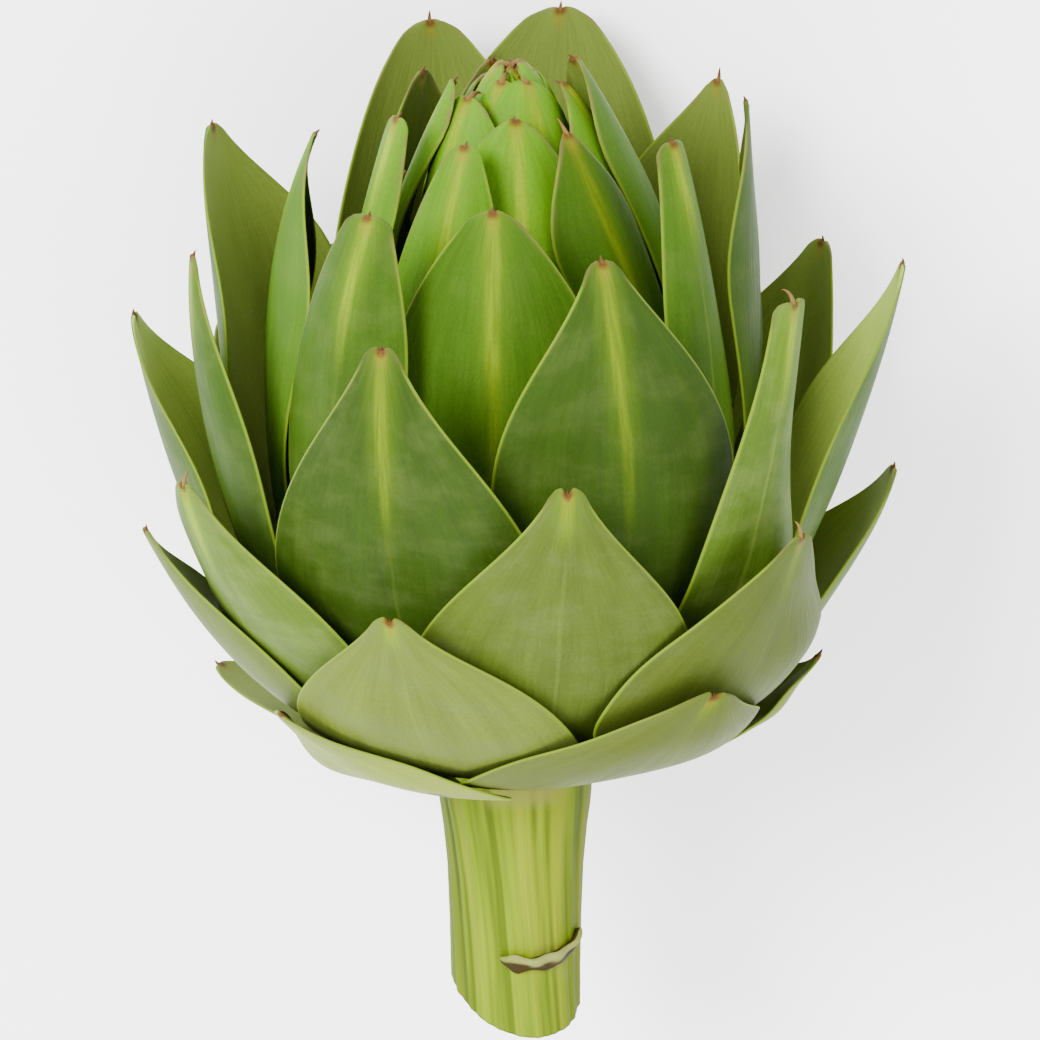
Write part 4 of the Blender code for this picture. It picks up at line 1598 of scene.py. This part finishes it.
@dataclass
class Scar:
    """The torn ledge that a small leaf left on the stem."""

    material: bpy.types.Material
    first: float = -14.0  # azimuth of its left end, in degrees
    last: float = 74.0
    height: float = -34.0
    stem_radius: float = 10.7
    sections: int = 60
    points_round: int = 14
    set_in: float = 0.4
    seed: int = 31

    def build(self) -> bpy.types.Object:
        """Builds the ledge as a ragged crescent.

        Returns:
            The new object.
        """
        rng = np.random.default_rng(self.seed)
        share = np.linspace(0, 1, self.sections)
        rough = sum(rng.normal() * np.sin(share * math.pi * k + rng.uniform(0, 6)) / k for k in range(3, 13))
        full = np.sin(math.pi * share) ** 0.4
        ends = np.exp(-(((share - 0.16) / 0.09) ** 2)) + 1.3 * np.exp(-(((share - 0.93) / 0.04) ** 2))
        reach = (1.9 + 0.7 * rough + 0.5 * ends) * full + 0.1
        tall = (1.2 + 0.4 * np.roll(rough, 7) + 0.8 * ends) * full + 0.15
        middle = self.height - 1.5 * np.sin(math.pi * share) + 1.8 * share + 0.25 * rough
        azimuth = np.radians(self.first + (self.last - self.first) * share)
        turn = np.linspace(0, math.tau, self.points_round, endpoint=False)
        out = self.stem_radius - self.set_in + reach[:, None] * (0.5 + 0.62 * np.cos(turn))
        up = middle[:, None] + tall[:, None] * (np.sin(turn) + 0.7 * np.clip(np.cos(turn), 0, 1))
        points = np.stack([out * np.sin(azimuth)[:, None], -out * np.cos(azimuth)[:, None], up], -1)
        n = self.points_round
        faces = tube_faces(self.sections, n, capped=False)
        faces.append(tuple(range(n - 1, -1, -1)))
        faces.append(tuple(range((self.sections - 1) * n, self.sections * n)))
        flat = points.reshape(-1, 3)
        from_rim = np.abs((turn - 0.3 + math.pi) % math.tau - math.pi)
        torn = smoothstep((from_rim - 0.45 - 0.25 * rough[:, None]) / 0.4)
        traits = {
            "rib": np.ones(len(flat)),
            # an even share of the stem's painted shade
            "painted_light_facing": np.full(len(flat), 0.7),
            "cut": np.repeat(0.8 * full, n),
            "scabby": np.full(len(flat), 0.5),
            "torn": np.clip(torn, 0, 1).ravel(),
        }
        skin = Skin()
        grain = np.stack([np.repeat(share * 3, n), np.tile(turn, self.sections)], -1)
        skin.add(flat, faces, 0, traits, grain)
        return skin.object("leaf_scar", [self.material])


@dataclass(frozen=True)
class Lamp:
    """A soft square lamp aimed at the head."""

    name: str
    place: tuple[float, float, float]
    size: float
    watts: float

    def build(self, aim: Vector) -> None:
        """Hangs the lamp.

        Args:
            aim: The point that it shines at.
        """
        light = bpy.data.lights.new(self.name, "AREA")
        light.shape = "DISK"
        light.size = self.size
        light.energy = self.watts
        lamp = bpy.data.objects.new(self.name, light)
        lamp.location = self.place
        lamp.rotation_euler = (aim - Vector(self.place)).to_track_quat("-Z", "Y").to_euler()
        bpy.context.scene.collection.objects.link(lamp)


@dataclass
class Studio:
    """The floor, the soft light and the camera."""

    floor_size: float = 6.0
    elevation: float = 20.0  # of the view above the plane square to the stem
    distance: float = 0.9
    lens: float = 194.7
    aim_above_junction: float = 38.3
    aim_aside: float = 0.8
    sky: float = 2.5
    lamps: tuple[Lamp, ...] = (
        Lamp("key", (-0.9, 0.9, 1.5), 0.9, 110.0),
        Lamp("fill", (1.0, -0.5, 1.5), 1.4, 22.0),
        Lamp("foot", (-0.2, -1.3, 1.1), 1.2, 26.0),
    )

    def build(self) -> None:
        """Sets up the stage, the light and the camera."""
        aim = Vector(HEAD_PLACE) + Vector((self.aim_aside, self.aim_above_junction, 0))
        aim *= MM
        self.floor()
        for lamp in self.lamps:
            lamp.build(aim)
        world = bpy.data.worlds.new("soft room")
        world.use_nodes = True
        world.node_tree.nodes["Background"].inputs["Color"].default_value = (1, 1, 1, 1)
        world.node_tree.nodes["Background"].inputs["Strength"].default_value = self.sky
        bpy.context.scene.world = world
        self.camera(aim)
        LOG.info("studio set up")

    def floor(self) -> None:
        """Lays the floor."""
        half = self.floor_size / 2
        mesh = bpy.data.meshes.new("floor")
        corners = [(-half, -half, 0), (half, -half, 0), (half, half, 0), (-half, half, 0)]
        mesh.from_pydata(corners, [], [(0, 1, 2, 3)])
        mesh.materials.append(FloorFinish().material())
        floor = bpy.data.objects.new("floor", mesh)
        bpy.context.scene.collection.objects.link(floor)

    def camera(self, aim: Vector) -> None:
        """Hangs the camera over the head, looking down on its front.

        Args:
            aim: The point that it looks at.
        """
        tilt = math.radians(self.elevation)
        back = Vector((0, math.sin(tilt), math.cos(tilt)))
        up = Vector((0, math.cos(tilt), -math.sin(tilt)))
        side = up.cross(back)
        data = bpy.data.cameras.new("camera")
        data.lens = self.lens
        camera = bpy.data.objects.new("camera", data)
        turned = Matrix((side, up, back)).transposed().to_4x4()
        camera.matrix_world = Matrix.Translation(aim + back * self.distance) @ turned
        bpy.context.scene.collection.objects.link(camera)
        bpy.context.scene.camera = camera


def main() -> None:
    """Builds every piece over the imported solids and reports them."""
    logging.basicConfig(level=logging.INFO, format="%(name)s: %(message)s")
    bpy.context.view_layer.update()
    grain = grain_group()
    bract_material = BractFinish().material(grain)
    spine_material = SpineFinish().material()
    stem_material = StemFinish().material(grain)
    Studio().build()
    Head(bract_material, spine_material).build()
    Heart(bract_material).build()
    Stem(stem_material).build()
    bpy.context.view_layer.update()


if __name__ == "__main__":
    main()
